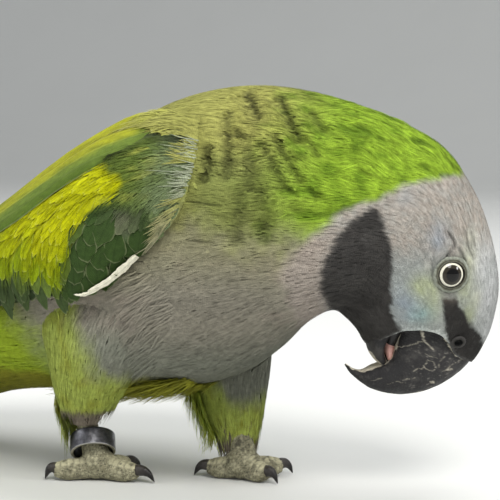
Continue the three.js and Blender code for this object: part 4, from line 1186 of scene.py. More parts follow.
def body_feathers():
    """Body feathers in four pieces by place, and loose barbs over them, up to the head's edge."""

    def spacing(t, a, p):
        """The room of a feather: less towards the head, more under the wings, none on the head."""
        s, z, _ = unbend(p)
        room = np.interp(t, [ring(1), ring(4), ring(7), ring(10), ring(12), ring(13.5)],
                         [2.6, 2.9, 2.9, 2.5, 1.9, 1.4])
        room = np.where(under_wing(p), 5.0, room)
        return np.where(edge_distance(HEAD_EDGE, s, z) > 1.0, 0.0, room)

    t, a = scatter(body, spacing, (ring(0.6), ring(15.8)), (-np.pi, np.pi))
    p = body(t, a)
    s, z, _ = unbend(p)
    size = spacing(t, a, p)
    fold = noise(p, 6.0, 11)
    groups = {"rump": t < ring(6.5), "back": (t >= ring(6.5)) & (z > 62) & (t < ring(11)),
              "nape": (t >= ring(11)) & (z > 58), "breast": None}
    taken = np.zeros(len(t), bool)
    for name, chosen in groups.items():
        chosen = ~taken if chosen is None else chosen & ~taken
        taken |= chosen
        n = chosen.sum()
        lengths = np.interp(size[chosen], [1.4, 2.0, 2.6, 4.4], [4.8, 6.8, 9.2, 15.0])
        lengths = lengths * (1 + 0.12 * rng.normal(size=n))
        widths = np.interp(size[chosen], [1.4, 2.0, 2.6, 4.4], [2.3, 3.2, 4.6, 8.0])
        widths = widths * (0.7 if name == "rump" else 1.0)
        plumes(f"feathers_{name}", body, t[chosen], a[chosen], "body", body_colour,
               "breast_plumage" if name == "breast" else "green_plumage", length=lengths, width=widths,
               sink=coat_depth(t[chosen]) * 0.6, rise=0.02 + 0.1 * np.clip(fold[chosen], -0.3, 1),
               turn=0.14 * rng.normal(size=n) + 0.25 * fold[chosen], share=body_share,
               ragged=0.04 if name == "rump" else 0.16, columns=7, rows=6, camber=0.06, tip=0.5 if name == "rump"
               else 0.25, taper=0.6)

    def loose(t, a, p):
        """The room of a loose barb, less towards the head."""
        s, z, _ = unbend(p)
        room = np.interp(t, [ring(1), ring(6), ring(9), ring(12), ring(14)], [1.4, 0.95, 0.66, 0.55, 0.5])
        room = np.where(under_wing(p), 0.0, room)
        return np.where(edge_distance(HEAD_EDGE, s, z) > 0.3, 0.0, room)

    def sized(t, a, p):
        """A barb's length, cut short where it would run across a fold, so that the fold's edge is crisp."""
        s, z, left = unbend(p)
        full = np.interp(t, [ring(2), ring(9), ring(12), ring(15)], [8.0, 6.0, 4.2, 3.2])
        for k in (4, 3, 2, 1):
            full = np.where(fold_shade(s - 1.1 * k, z, left) > 0.33, np.minimum(full, 1.1 * k), full)
        return full

    wild = lambda p: ramp(p[..., 0], 24, 38) * ramp(p[..., 2], 60, 70)
    for part, start, end, rows in (("rear", ring(1.5), ring(10.3), 4), ("front", ring(10.3), ring(15.8), 6)):
        barbs(f"barbs_{part}", body, loose, (start, end), (-np.pi, np.pi), "body", body_colour, "breast_plumage",
              length=sized, width=lambda t, a, p: 0.34 - 0.06 * wild(p),
              lift=lambda t, a, p: 0.16 + 0.12 * wild(p), share=body_share,
              lean=lambda t, a, p: (0.2 + 0.35 * wild(p)) * noise(p, 5.0, 11),
              tone=lambda p: 0.05 + 0.1 * wild(p), rows=rows)


body_feathers()


def head_feathers():
    """Fine barbs over the head, shortest round the eyes and the bill."""

    def spacing(t, a, p):
        """The room of a head feather, less towards the bill and near the eye, none in its ring."""
        s, z, _ = unbend(p)
        room = np.interp(t, [ring(13), ring(15), ring(17.5), ring(20)], [1.2, 0.95, 0.72, 0.6])
        eye = from_eye(p)
        room = np.where(eye < 7, np.interp(eye, [4, 7], [0.48, 0.7]), room)
        return np.where((edge_distance(HEAD_EDGE, s, z) < -1.0) | (t > face_end(a) - 0.004) | (eye < BARE_RING),
                        0.0, room)

    def reach(p, full):
        """A feather's length, held back where it would run over the bare ring of the eye."""
        eye = from_eye(p)
        above = unbend(p)[1] < EYE_AT[1] + 3
        return np.where((eye < 8) & above, np.clip(eye - BARE_RING + 0.3, 0.4, full), full)

    loose = lambda t, a, p: spacing(t, a, p) * 0.5
    sized = lambda t, a, p: reach(p, np.interp(t, [ring(13), ring(16), ring(20)], [3.2, 2.4, 1.6]))
    barbs("barbs_head", body, loose, (ring(10.5), 1.0), (-np.pi, np.pi), "body", body_colour, "face_plumage",
          length=sized, width=0.26, lift=0.07, share=body_share, stray=0.12, tone=0.06)


head_feathers()

# ---- Wing feathers ---------------------------------------

def scapular_colour(points):
    """Olive and yellow, turning to the back's own colours ahead."""
    rough = noise(points, 4.0, 12) + 0.5 * noise(points, 1.5, 13)
    colour = mix(OLIVE, SOFT_YELLOW, ramp(rough, -0.5, 0.9))
    return mix(colour, body_colour(points), ramp(points[..., 0], 7, 17))


def quill_colour(points, side, q):
    """Green outer webs with a yellowish edge, and dark inner webs."""
    rough = noise(points, 5.0, 14)
    colour = mix(WING_GREEN * 0.72, DARK_GREEN * 0.55, ramp(side, -0.1, 0.25))
    colour = mix(colour, YELLOW_GREEN * 0.8, 0.6 * ramp(-side, 0.72, 0.95))
    return mix(colour, linear(42, 48, 40), 0.5 * ramp(q, 0.82, 1.0)) * (1 + 0.08 * rough)[..., None]


def wing_feathers(name):
    """A wing's coverts, quills, pale edge, shoulder feathers and fringe. Places along it are given
    by the stretch of the guide lines, i, and across it by v."""
    surface, chart = on_wing(name), f"wing_{name}"
    share = lambda u, v: (v / 2, 1 - u)
    band = lambda i: np.interp(i, [0, 0.87, 1.27, 1.62, 1.96, 2.23, 3.2, 4.2],
                               [0.1, 0.28, 0.35, 0.42, 0.46, 0.52, 0.5, 0.46])
    flow = lambda u, v: (np.interp(v, [0, 0.3, 0.5, 0.75, 1], [0.1, 0.3, 0.6, 1.15, 1.3])
                         * np.interp((1 - u) * WING_COUNT, [0, 2.6, 3.6], [1, 1, 0.5]))

    def spacing(u, v, p):
        """The room of a covert: more towards the tip, none on the band or below the last row."""
        i = (1 - u) * WING_COUNT
        room = np.interp(i, [0, 0.5, 1.0, 2.4, 3.6], [1.5, 1.8, 2.3, 2.7, 3.6])
        room = np.where(inside(DARK_PATCH, p) > 1.0, 2.9, room)
        return np.where((i > 3.4 - 0.6 * v) | (v < band(i) - 0.03) | ((v > 0.88) & (i > 1.5)), 0.0, room)

    u, v = scatter(surface, spacing, (1 - 3.6 / WING_COUNT, 0.996), (0.03, 0.95))
    p = surface(u, v)
    size = spacing(u, v, p)
    n = len(u)
    dark = ramp(inside(DARK_PATCH, p), -0.5, 1.5)
    yellow = ramp(inside(YELLOW_PATCH, p), -1, 1)
    plumes(f"coverts_{name}", surface, u, v, chart, wing_colour, "wing_plumage",
           length=size * (3.3 - 0.6 * dark) * (1 + 0.1 * rng.normal(size=n)), width=size * (1.45 + 0.5 * dark),
           sink=0.28, rise=0.04 + 0.14 * yellow + 0.1 * dark + 0.5 * ramp((1 - u) * WING_COUNT, 2.4, 3.2),
           turn=flow(u, v) + (0.08 + 0.06 * yellow) * rng.normal(size=n), share=share,
           rim=0.03 + 0.1 * dark + 0.07 * yellow, columns=7, rows=6, tip=0.3, ragged=0.06, camber=0.05,
           material=STIFF_FEATHER, dark=0.86, tone=0.04 + 0.05 * yellow, own=False)
    plain = lambda p: inside(DARK_PATCH, p) < 0.5
    loose = lambda u, v, p: np.where((spacing(u, v, p) > 0) & plain(p),
                                     0.8 + 0.5 * ramp(inside(YELLOW_PATCH, p), -1, 1), 0.0)
    barbs(f"barbs_{name}", surface, loose, (1 - 3.4 / WING_COUNT, 0.996), (0.08, 0.93), chart, wing_colour,
          "wing_plumage", length=3.6, width=0.36, lift=0.22, share=share, lean=lambda u, v, p: flow(u, v),
          tone=0.1)

    # Long feathers: primaries lowest, then secondaries, then a row whose tips hang over the lower
    # edge, and the broad innermost ones along the back.
    at = lambda i, v: (1 - i / WING_COUNT, v)
    side = SIDES[name]              # the outer webs of the long feathers are the narrower ones
    k = np.arange(9)
    tips = 5.94 - 0.2 * k
    paths = [[at(2.2, 0.9), at(3.3, 0.93 - 0.02 * j), at(4.4, 0.93 - 0.045 * j), at(tip, 0.72 - 0.06 * j)]
             for j, tip in zip(k, tips)]
    vanes(f"quills_{name}", surface, paths, 10.0 - 0.2 * k, 0.07 * k, quill_colour, "flight_feather",
          outline=[(0, 0.5), (0.15, 0.85), (0.5, 1), (0.8, 0.9), (0.93, 0.65), (1, 0.12)], rim=0.1,
          split=0.5 + 0.18 * side, rows=30, nodes=[f"primaries_{name}"])
    paths = [[at(1.8 + 0.1 * j, 0.86 - 0.02 * j), at(2.9, 0.9 - 0.05 * j), at(3.7, 0.88 - 0.055 * j),
              at(4.35 - 0.05 * abs(j - 3), 0.84 - 0.055 * j)] for j in k]
    vanes(f"secondaries_{name}", surface, paths, 10.5, 0.15 + 0.06 * k, quill_colour, "flight_feather",
          root_depth=-1.2, outline=[(0, 0.4), (0.2, 0.8), (0.6, 1), (0.88, 0.85), (0.96, 0.55), (1, 0.15)],
          rim=0.08, split=0.5 + 0.14 * side, rows=24)
    k = np.arange(18)
    i = 3.3 - 0.155 * k
    paths = [[at(j - 0.25, 0.66), at(j - 0.1, 0.8), at(j + 0.02, 0.93),
              at(j + 0.1, 0.972 - 0.05 * max(j - 1.6, 0))] for j in i]
    vanes(f"hanging_{name}", surface, paths, np.interp(i, [0.6, 3.3], [4.4, 6.0]),
          np.interp(i, [0.6, 3.3], [-0.7, -0.5]), hanging_colour, "wing_plumage",
          outline=[(0, 0.5), (0.3, 0.9), (0.7, 1), (0.9, 0.85), (0.97, 0.6), (1, 0.25)], rim=0.25, rows=18,
          root_depth=-1.5)
    k = np.arange(6)
    paths = [[at(2.7 - 0.1 * j, 0.44 - 0.07 * j), at(3.7, 0.42 - 0.068 * j), at(4.7, 0.43 - 0.066 * j),
              at(5.55 - 0.13 * j, 0.46 - 0.07 * j)] for j in k]
    vanes(f"inner_{name}", surface, paths, 8.2 - 0.3 * k, 0.05 + 0.07 * k, inner_colour, "flight_feather",
          root_depth=-0.8, outline=[(0, 0.5), (0.2, 0.9), (0.5, 1), (0.8, 0.8), (0.94, 0.5), (1, 0.12)], rim=0.1,
          split=0.5 + 0.1 * side, rows=26)
    paths = [[at(i, max(start - step * j, 0.045)) for i, start, step in (
        (0.5 + 0.1 * j, 0.15, 0.035), (0.95, 0.25, 0.055), (1.5, 0.335, 0.08), (2.3, 0.455, 0.09),
        (3.2, 0.44, 0.085), (4.1 - 0.2 * j, 0.42, 0.08))] for j in k]
    outline = [(0, 0.2), (0.12, 0.6), (0.3, 0.95), (0.6, 1), (0.85, 0.8), (0.95, 0.5), (1, 0.15)]
    vanes(f"tertials_{name}", surface, paths, 7.0 - 0.3 * k, 0.4 + 0.1 * np.minimum(k, 4), tertial_colour,
          "flight_feather", root_depth=-0.6, outline=outline, rim=0.15, rows=30)
    # The pale feathers along the leading edge below the bend.
    paths = [[at(0.22, 0.97), at(0.38, 1.0), at(0.6, 1.025), at(0.88, 1.01)],
             [at(0.55, 1.015), at(0.75, 1.03), at(0.95, 1.02), at(1.1, 1.0)]]
    vanes(f"edge_{name}", surface, paths, np.array([2.1, 1.0]), np.array([0.8, 0.6]),
          lambda points, side, q: CREAM * (1 + 0.06 * noise(points, 1.5, 16))[..., None], "wing_plumage",
          root_depth=0.3, outline=[(0, 0.55), (0.15, 0.9), (0.5, 1), (0.8, 0.75), (0.93, 0.3), (1, 0.05)],
          rows=20, ragged=0.12)

    # Soft shoulder feathers over the upper edge, and pale barbs over the front edge.
    def shoulder(u, v, p):
        """The room of a shoulder feather, near the upper edge ahead."""
        i = (1 - u) * WING_COUNT
        return np.where((i < 1.5) & (v < 0.13 - 0.02 * i), 2.3, 0.0)

    u, v = scatter(surface, shoulder, (1 - 1.6 / WING_COUNT, 1.0), (0.01, 0.16))
    n = len(u)
    plumes(f"scapulars_{name}", surface, u, v, chart, scapular_colour, "green_plumage",
           length=9.5 * (1 + 0.15 * rng.normal(size=n)), width=4.2, sink=0.5,
           rise=0.1 + 0.5 * rng.random(n) * ramp(v, 0.03, 0.12), turn=0.1 + 0.16 * rng.normal(size=n),
           share=share, rim=0.12, columns=7, rows=6, tip=0.35, ragged=0.25, taper=0.4, dark=0.75, tone=0.06)
    over = lambda u, v, p: np.where(shoulder(u, v, p) > 0, 0.62, 0.0)
    barbs(f"barbs_shoulder_{name}", surface, over, (1 - 1.6 / WING_COUNT, 1.0), (0.01, 0.16), chart,
          scapular_colour, "green_plumage", length=6.0, width=0.4, lift=0.45, share=share,
          lean=lambda u, v, p: 0.1 + 0.2 * noise(p, 5, 17), tone=0.08)
    lap = lambda u, v, p: np.where(((1 - u) * WING_COUNT < 0.08 + 0.08 * noise(p, 2.0, 60))
                                   & (np.abs(p[..., 2] - 74) > 4 + 1.5 * noise(p, 1.5, 61)), 0.3, 0.0)
    barbs(f"lap_{name}", surface, lap, (1 - 0.3 / WING_COUNT, 1.0), (0.02, 0.985), chart, body_colour,
          "breast_plumage", length=4.6, width=0.36, lift=0.5, share=share,
          lean=lambda u, v, p: np.interp(v, [0.2, 0.45, 0.6, 1], [0.0, 0.1, 0.4, 0.6]) + 0.2 * noise(p, 2.0, 62),
          tone=0.08)
    fringe = lambda u, v, p: np.where((1 - u) * WING_COUNT < 0.1 + 0.08 * noise(p, 2.0, 18),
                                      0.4 + 0.5 * ramp(72 - p[..., 2], 0, 5), 0.0)
    pale = lambda p: mix(linear(164, 172, 144), linear(140, 144, 108),
                         ramp(74 - p[..., 2], 0, 8) + 0.3 * noise(p, 1.2, 54))
    barbs(f"fringe_{name}", surface, fringe, (1 - 0.34 / WING_COUNT, 1.012), (0.16, 0.96), chart, pale,
          "breast_plumage", length=3.2, width=0.26, lift=0.6, share=share,
          lean=lambda u, v, p: np.interp(v, [0.2, 0.45, 0.6, 1], [0.0, 0.1, 0.5, 0.7]) + 0.15 * noise(p, 2.0, 19),
          tone=0.1)


def inner_colour(points, side, q):
    """Green, yellower at the outer edges, and darker towards the tips."""
    rough = noise(points * [0.3, 1, 1], 1.6, 64) + 0.5 * noise(points, 4.0, 65)
    colour = mix(WING_GREEN * 0.95, YELLOW_GREEN * 0.9, 0.5 * ramp(np.abs(side), 0.5, 0.95))
    return mix(colour, DARK_GREEN * 0.8, ramp(q, 0.55, 1)) * (1 + 0.12 * rough)[..., None]


def hanging_colour(points, side, q):
    """Grey-green near the rear, dark green below the bend, each with a fine pale edge."""
    rough = noise(points, 3.0, 20)
    colour = mix(linear(48, 62, 36), DARK_GREEN, ramp(points[..., 0] + 2 * rough, -9, -4))
    edge = 0.3 * ramp(np.abs(side), 0.5, 0.9) * ramp(points[..., 0], -4, -9)
    return colour * (1 + 0.12 * rough - edge)[..., None]


def tertial_colour(points, side, q):
    """Green, paler and yellower towards the back, with fine dark and light streaks."""
    rough = noise(points * [0.3, 1, 1], 1.6, 24) + 0.5 * noise(points, 4.0, 25)
    above = inside(BAND_LINE, points)
    colour = mix(linear(80, 102, 32), WING_GREEN * 1.1, ramp(above + rough, 0, 3))
    colour = mix(colour, linear(150, 152, 34), ramp(above + rough, 3.2, 7))
    colour = mix(colour, WING_GREEN, ramp(-points[..., 0], 28, 62))
    return colour * (1 + 0.14 * rough)[..., None]


for side_name in SIDES:
    wing_feathers(side_name)

# ---- Leg feathers ----------------------------------------


def leg_feathers(name):
    """Loose feathers down the thigh, ending raggedly above the bare shank, a longer tuft behind
    it, and on the left leg, which is feathered lower, hairlike ones over the ankle."""
    surface, chart = on_thigh(name), f"thigh_{name}"
    share = lambda u, a: (a / (2 * np.pi) + 0.5, 1 - u)
    low = 0.29 if name == "right" else 0.08
    u, a = scatter(surface, 1.25, (low, 0.98), (-np.pi, np.pi))
    n = len(u)
    plumes(f"feathers_thigh_{name}", surface, u, a, chart, thigh_colour, "leg_plumage",
           length=np.interp(u, [0, 0.3, 1], [4.5, 6.5, 9.0]) * (1 + 0.2 * rng.normal(size=n)), width=1.9,
           sink=0.2, rise=0.03 + 0.08 * rng.random(n), turn=0.14 * rng.normal(size=n), share=share, columns=3,
           rows=5, tip=0.2, ragged=0.3, taper=0.25, dark=0.92)
    hairs = dict(chart=chart, colour=thigh_colour, slot="leg_plumage", share=share)
    barbs(f"barbs_thigh_{name}", surface, 0.66, (low - 0.03, 0.99), (-np.pi, np.pi), length=5.2, width=0.36,
          lift=lambda u, a, p: 0.22 + 0.4 * ramp(0.4 - u, 0, 0.2), lean=lambda u, a, p: 0.3 * noise(p, 4.0, 26),
          tone=0.09, **hairs)
    green = lambda points: mix(THIGH_GREEN, VENT, ramp(noise(points, 1.5, 28), -0.5, 0.8))
    hairs["colour"] = green
    if name == "right":
        barbs("tuft_right", surface, 0.42, (0.0, 0.36), (2.3, 3.98), length=10.0, width=0.42, lift=1.5, tone=0.12,
              **hairs)
    else:
        # Partly the tuft's own paler colour and partly painted light: the same green made 1.9 times lighter where
        # the tuft lies in shade.
        hairs["colour"] = lambda points: green(points) * 1.9
        barbs("tuft_left", surface, 0.42, (0.12, 0.5), (2.3, 3.98), length=9.0, width=0.42, lift=3.6, tone=0.12,
              **hairs)
        bare = lambda points: ramp(noise(points, 1.2, 29) + ramp(12 - points[..., 2], 0, 5), 0.2, 0.9)
        hairs["colour"] = lambda points: mix(green(points), SHANK * 0.75, bare(points))
        barbs("hairs_left", surface, 0.6, (-0.1, 0.25), (-np.pi, np.pi), length=4.6, width=0.3, lift=0.5,
              tone=0.12, **hairs)


def vent_feathers():
    """Loose yellowish feathers under the belly between the legs."""

    def place(t, a, p):
        """The room of a feather, low between the legs."""
        s, z, w = unbend(p)
        return np.where((s > -16) & (s < 12) & (z < 28) & (np.abs(w) < 14), 0.6, 0.0)

    green = lambda points: mix(VENT * 0.8, VENT * 1.25, ramp(noise(points, 2.0, 30), -0.5, 0.8))
    barbs("barbs_vent", body, place, (ring(6), ring(11.5)), (-np.pi, np.pi), "body", green, "leg_plumage",
          length=10.0, width=0.5, lift=2.6, share=body_share, lean=lambda t, a, p: 0.3 * noise(p, 4.0, 40),
          tone=0.12)


def flank_feathers():
    """Belly feathers that lap over the front of the thighs."""

    def ahead(p):
        """How far a place on the body lies ahead of the front of the thigh on its side."""
        x, y, z = np.moveaxis(p, -1, 0)
        front = np.where(y < 0, np.interp(z, [22, 31, 40, 48, 54], [-5, 3, 9, 12, 10]),
                         np.interp(z, [22, 31, 40, 48, 54], [19, 18, 17, 15, 12]))
        return np.where((z > 24) & (z < 54) & (np.abs(y) > 10), x - front + 2 * noise(p, 4.0, 66), 99.0)

    place = lambda t, a, p: np.where((ahead(p) > -3) & (ahead(p) < 9), 0.5 + 0.06 * np.clip(ahead(p), 0, 9), 0.0)
    down = lambda t, a, p: np.sign(a) * 0.35 + 0.3 * noise(p, 4.0, 63)
    barbs("barbs_flank", body, place, (ring(8), ring(13)), (-np.pi, np.pi), "body", body_colour, "breast_plumage",
          length=7.0, width=0.4, lift=lambda t, a, p: 0.1 + 1.5 * ramp(8 - ahead(p), 0, 8), share=body_share,
          lean=down, tone=0.04, rows=5)


vent_feathers()
flank_feathers()
for side_name in SIDES:
    leg_feathers(side_name)

# ---- Tail ------------------------------------------------

TAIL = np.array([[-267, 1.3, 1.6], [-259, 1.7, 3.9], [-238, 2.2, 6.3], [-205, 2.8, 9.2], [-172, 3.7, 11.6],
                 [-150, 5.7, 13.0], [-130, 9.4, 14.2], [-112, 14.2, 15.0], [-96, 19, 15.5]])
TAIL_START, TAIL_LENGTH = -96.0, 171.0


def tail_top(u, v, inset=0.0):
    """The top of the closed tail: u from its tip to its root, v from its right edge (-1) to its
    left. It follows a height and half width along the body and drops to both edges."""
    x = TAIL_START - TAIL_LENGTH * (1 - u)
    height, half = np.interp(x, TAIL[:, 0], TAIL[:, 1]), np.interp(x, TAIL[:, 0], TAIL[:, 2])
    z = height - 0.3 - inset - 0.35 * np.minimum(height, 6) * v**2
    return np.stack(np.broadcast_arrays(x, v * half, z), -1)


def tail_colour(points, side, q):
    """Green with bluish middle feathers, yellowish edges and darker tips."""
    rough = noise(points, 6.0, 15)
    colour = mix(TAIL_GREEN, TAIL_BLUE, ramp(np.abs(points[..., 1]), 3.5, 0.5) * 0.6)
    colour = mix(colour, YELLOW_GREEN * 0.8, 0.5 * ramp(np.abs(side), 0.7, 1.0))
    return mix(colour, DARK_GREEN * 0.7, 0.3 * ramp(q, 0.85, 1)) * (1 + 0.08 * rough)[..., None]


def make_tail():
    """Twelve feathers in pairs, each pair longer and nearer the middle than the one before."""
    pairs = [(-178, 0.95, 11.5), (-199, 0.86, 12), (-219, 0.8, 12.5), (-236, 0.68, 13), (-252, 0.5, 13.5),
             (-266.6, 0.3, 14)]
    paths, widths, heights = [], [], []
    for level, (tip, edge, width) in enumerate(pairs):
        for side in (-1, 1):
            end = 1 - (TAIL_START - tip) / TAIL_LENGTH
            start = 0.97 if level > 1 else 0.9
            paths.append([(start, side * edge * 0.4), ((start + end) / 2, side * edge * 0.62),
                          (end, side * edge)])
            widths.append(width)
            heights.append(-1.4 + 0.25 * level + 0.05 * side)
    vanes("tail", tail_top, paths, np.array(widths), np.array(heights), tail_colour, "tail_feather",
          outline=[(0, 0.5), (0.15, 0.8), (0.45, 1), (0.7, 0.86), (0.85, 0.6), (0.95, 0.3), (1, 0.05)], rim=0.12,
          rows=34, thick=0.22, nodes=["tail_feathers"])


make_tail()

# ---- Bill ------------------------------------------------

# Rings from the root to the tip in the plane of the head: on the outer ridge, on the cutting
# edge, half the width, and how far the widest line lies above the middle.
UPPER_BILL = np.array([
    [76.0, 35.0, 58.2, 43.6, 7.4, -0.35], [75.2, 32.4, 57.4, 41.0, 7.9, -0.35],
    [73.2, 29.6, 56.9, 38.6, 7.8, -0.35], [69.2, 26.4, 56.4, 36.4, 7.2, -0.35],
    [64.8, 24.2, 55.9, 34.5, 6.4, -0.35], [60.1, 23.1, 55.3, 32.6, 5.5, -0.35],
    [55.3, 23.2, 53.9, 30.8, 4.6, -0.35], [51.3, 24.3, 51.2, 29.8, 3.6, -0.35],
    [48.2, 26.2, 48.9, 28.8, 2.3, -0.3], [46.0, 28.2, 46.8, 29.2, 1.1, -0.2],
    [44.8, 30.1, 45.1, 30.4, 0.3, 0],
])
LOWER_BILL = np.array([
    [48.6, 40.2, 57.4, 44.4, 7.2, 0], [49.3, 37.4, 56.6, 41.4, 7.0, 0], [49.9, 34.9, 55.3, 37.8, 6.5, 0],
    [50.6, 32.9, 54.0, 34.9, 5.6, 0], [51.9, 31.1, 53.9, 33.0, 4.3, 0], [53.4, 29.9, 54.5, 31.4, 2.8, 0],
])
TONGUE = np.array([[54.0, 42.6, 57.4, 41.9, 3.0, 0], [53.4, 37.6, 56.6, 37.2, 3.0, 0],
                   [53.6, 34.2, 56.3, 33.8, 4.1, 0], [54.2, 32.0, 55.7, 31.8, 3.4, 0],
                   [54.6, 31.0, 55.2, 30.9, 1.4, 0]])
GAPE = np.array([[52.6, 44, 60.5, 43.6, 5.6, 0], [53.0, 39.4, 59.0, 39.0, 5.7, 0],
                 [53.6, 36.6, 57.2, 36.2, 4.6, 0], [53.6, 34.0, 56.2, 33.8, 3.0, 0],
                 [53.9, 31.6, 55.4, 31.4, 2.4, 0], [54.2, 30.6, 55.0, 30.5, 1.2, 0]])
BILL_ROUNDNESS = 0.85
HORN, HORN_PALE, HORN_EDGE = linear(36, 35, 36), linear(120, 116, 110), linear(222, 214, 194)
SCRATCHES = [
    ([(61.2, 39.1), (61.5, 38.0), (61.8, 37.0)], 0.3), ([(61.8, 37.0), (62.8, 35.9), (64, 34.7)], 0.16),
    ([(61.8, 36.6), (59.7, 36.1), (58.4, 35.4), (56.5, 34.9)], 0.13),
    ([(60.1, 29.6), (61.2, 29.9), (62.3, 30.2), (63, 31.7)], 0.1), ([(68.0, 29.3), (69.0, 29.6)], 0.24),
    ([(66.9, 29.1), (68, 29.5), (69.4, 30.9), (71.2, 31.9)], 0.1), ([(64.1, 26.6), (65.2, 26.3)], 0.18),
    ([(63.2, 32.2), (64.6, 31.4), (65.2, 30.2)], 0.08), ([(57.6, 27.2), (60.4, 27.8)], 0.06),
    ([(54.2, 26.0), (56.4, 26.6), (58.2, 26.4)], 0.05), ([(62.6, 33.4), (64.0, 33.1), (65.6, 32.2)], 0.07),
    ([(67.2, 33.6), (66.2, 31.6), (65.8, 30.4)], 0.08), ([(50.4, 26.8), (52.8, 27.6)], 0.05),
    ([(62.2, 30.9), (63.4, 29.6), (65.0, 29.8)], 0.08),
]
# The cutting edges of both halves, and the edge of the upper one against the cere.
TOMIUM = [(57.6, 41), (57.0, 38.6), (56.5, 36.4), (56.0, 34.5), (55.3, 32.6), (53.9, 30.8), (51.2, 29.8),
          (48.9, 28.8), (46.8, 29.2), (45.1, 30.4)]
LOWER_EDGE = [(56.9, 41.4), (55.6, 37.8), (54.3, 34.9), (54.1, 33.0), (54.5, 31.4)]
CERE_LINE = [(66.6, 38.4), (67.4, 36.6), (68.6, 34.6), (69.6, 33.2), (71.4, 32.2), (73.6, 31.6)]


def bill_colour(points, s, z):
    """Dark horn with pale scratches and flakes, and a paler cutting edge."""
    rough = noise(points, 0.9, 31) + 0.6 * noise(points, 0.35, 32)
    colour = mix(HORN, HORN_PALE, 0.16 * ramp(noise(points, 3.0, 33) + 0.6 * rough, 0.1, 1.1))
    flecks = noise(np.stack([0.8 * s + 0.5 * z, 2.0 * (z - 0.6 * s), z], -1), 0.7, 46) + 0.3 * rough
    flecks = ramp(flecks, 0.5, 0.9) * ramp(s, 57, 62) * ramp(38 - z, 0, 4)
    colour = mix(colour, HORN_PALE, 0.6 * flecks)
    for line, size in SCRATCHES:
        near = edge_distance(line, s + 0.3 * noise(points, 0.9, 38), z + 0.3 * noise(points, 0.9, 39), False)
        worn = (0.3 + 1.8 * size) * (0.65 + 0.5 * noise(points, 0.8, 44))
        within = size + 0.05 * rough + 0.03 * noise(points, 1.6, 45) - near
        colour = mix(colour, HORN_EDGE * 0.9, worn * ramp(within, -0.1, 0.1))
        shade = 0.45 * ramp(size + 0.3 + 0.2 * rough - near, 0, 0.2) * ramp(near - size, 0, 0.2)
        colour = mix(colour, HORN * 0.6, shade)
    return colour


def horn_material(name, roughness):
    """Dark worn horn: cloudy sheen, growth lines across the bill, and fine scratches."""
    s = Shader(name)
    clouds = s.noise(420.0, 4.0)
    s.set("Roughness", s.ramp(clouds, 0.3, 0.7, roughness - 0.1, roughness + 0.16))
    s.surface.inputs["Specular IOR Level"].default_value = 0.3
    grain = s.node("ShaderNodeSeparateXYZ", {0: s.attribute("Grain", "Vector")})
    lines = s.math("SINE", s.math("ADD", s.math("MULTIPLY", grain.outputs[0], 240.0),
                                  s.math("MULTIPLY", clouds, 14.0)))
    fine = s.noise(2600.0, 3.0)
    s.set("Base Color", s.mix(s.ramp(fine, 0.55, 0.75, 0.0, 0.12), s.attribute("Col"), colour4(HORN_PALE)))
    s.bump(s.math("ADD", s.math("MULTIPLY", lines, 0.25), s.math("ADD", fine, s.math("MULTIPLY", clouds, 1.2))),
           0.4, 0.00022)
    return s.material


BILL_HORN = horn_material("bill_horn", 0.6)
CLAW_HORN = horn_material("claw_horn", 0.34)


def bill_piece(name, rings, rows, sides, slot, material, colour, *nodes, dent=None):
    """A closed skin over stacked ovals in the plane of the head, moved by dent where one is given."""
    t, a = np.meshgrid(np.linspace(0, 1, rows), circle(sides), indexing="ij")
    s, z, left = oval(rings, t, a, 0.0, BILL_ROUNDNESS)
    points = on_head(s, z, left)
    if dent is not None:
        points = points + dent(points, s, z, a)
    quads, places = closed(points, a / (2 * np.pi) + 0.5, t)
    grain = np.stack([t, a, 0 * a], -1)
    dress(build(name, points, quads, slot, places, Col=colour(points, s, z, a), Grain=grain), material, *nodes)


def upper_colour(points, s, z, a):
    """The bill's colours, worn pale along the cutting edge, the cere and the ridge."""
    colour = bill_colour(points, s, z)
    rough = noise(points, 0.7, 34)
    rim = ramp(0.34 + 0.14 * rough - edge_distance(TOMIUM, s, z, False), 0, 0.16)
    cere = ramp(0.3 + 0.25 * rough - edge_distance(CERE_LINE, s, z, False), 0, 0.2)
    ridge = ramp(0.9 - np.abs(a) * 3 + 0.6 * rough, 0, 0.5) * ramp(s, 50, 54) * ramp(66 - s, 0, 3)
    return mix(colour, HORN_EDGE, np.maximum(np.maximum(0.85 * rim, 0.8 * cere), 0.5 * ridge))


def lower_colour(points, s, z, a):
    """The bill's colours, worn pale along the cutting edge and the tip."""
    colour = bill_colour(points, s, z)
    rough = noise(points, 0.7, 34)
    rim = ramp(0.5 + 0.15 * rough - edge_distance(LOWER_EDGE, s, z, False), 0, 0.2)
    ridge = edge_distance([(50.4, 33.2), (51.8, 31.2), (53.4, 29.9)], s, z, False)
    tip = ramp(0.45 + 0.2 * rough - ridge, 0, 0.3)
    return mix(colour, HORN_EDGE, np.maximum(0.8 * rim, 0.6 * tip))


def scuffs(points, s, z, a):
    """Shallow scuffs along the scratches and slight unevenness all over, as moves along the way out."""
    out = unit(points - on_head(np.interp(z, [23, 44], [58, 66]), 34.0, 0.0))
    depth = 0.05 * noise(points, 1.6, 35) + 0.03 * noise(points, 0.7, 36)
    for line, size in SCRATCHES:
        depth = depth - 0.1 * ramp(size + 0.1 - edge_distance(line, s, z, False), 0, 0.25)
    return out * depth[..., None]


bill_piece("bill_upper", UPPER_BILL, 280, 180, "bill_horn", BILL_HORN, upper_colour, "upper_mandible", dent=scuffs)
bill_piece("bill_lower", LOWER_BILL, 110, 110, "bill_horn", BILL_HORN, lower_colour, "lower_mandible")


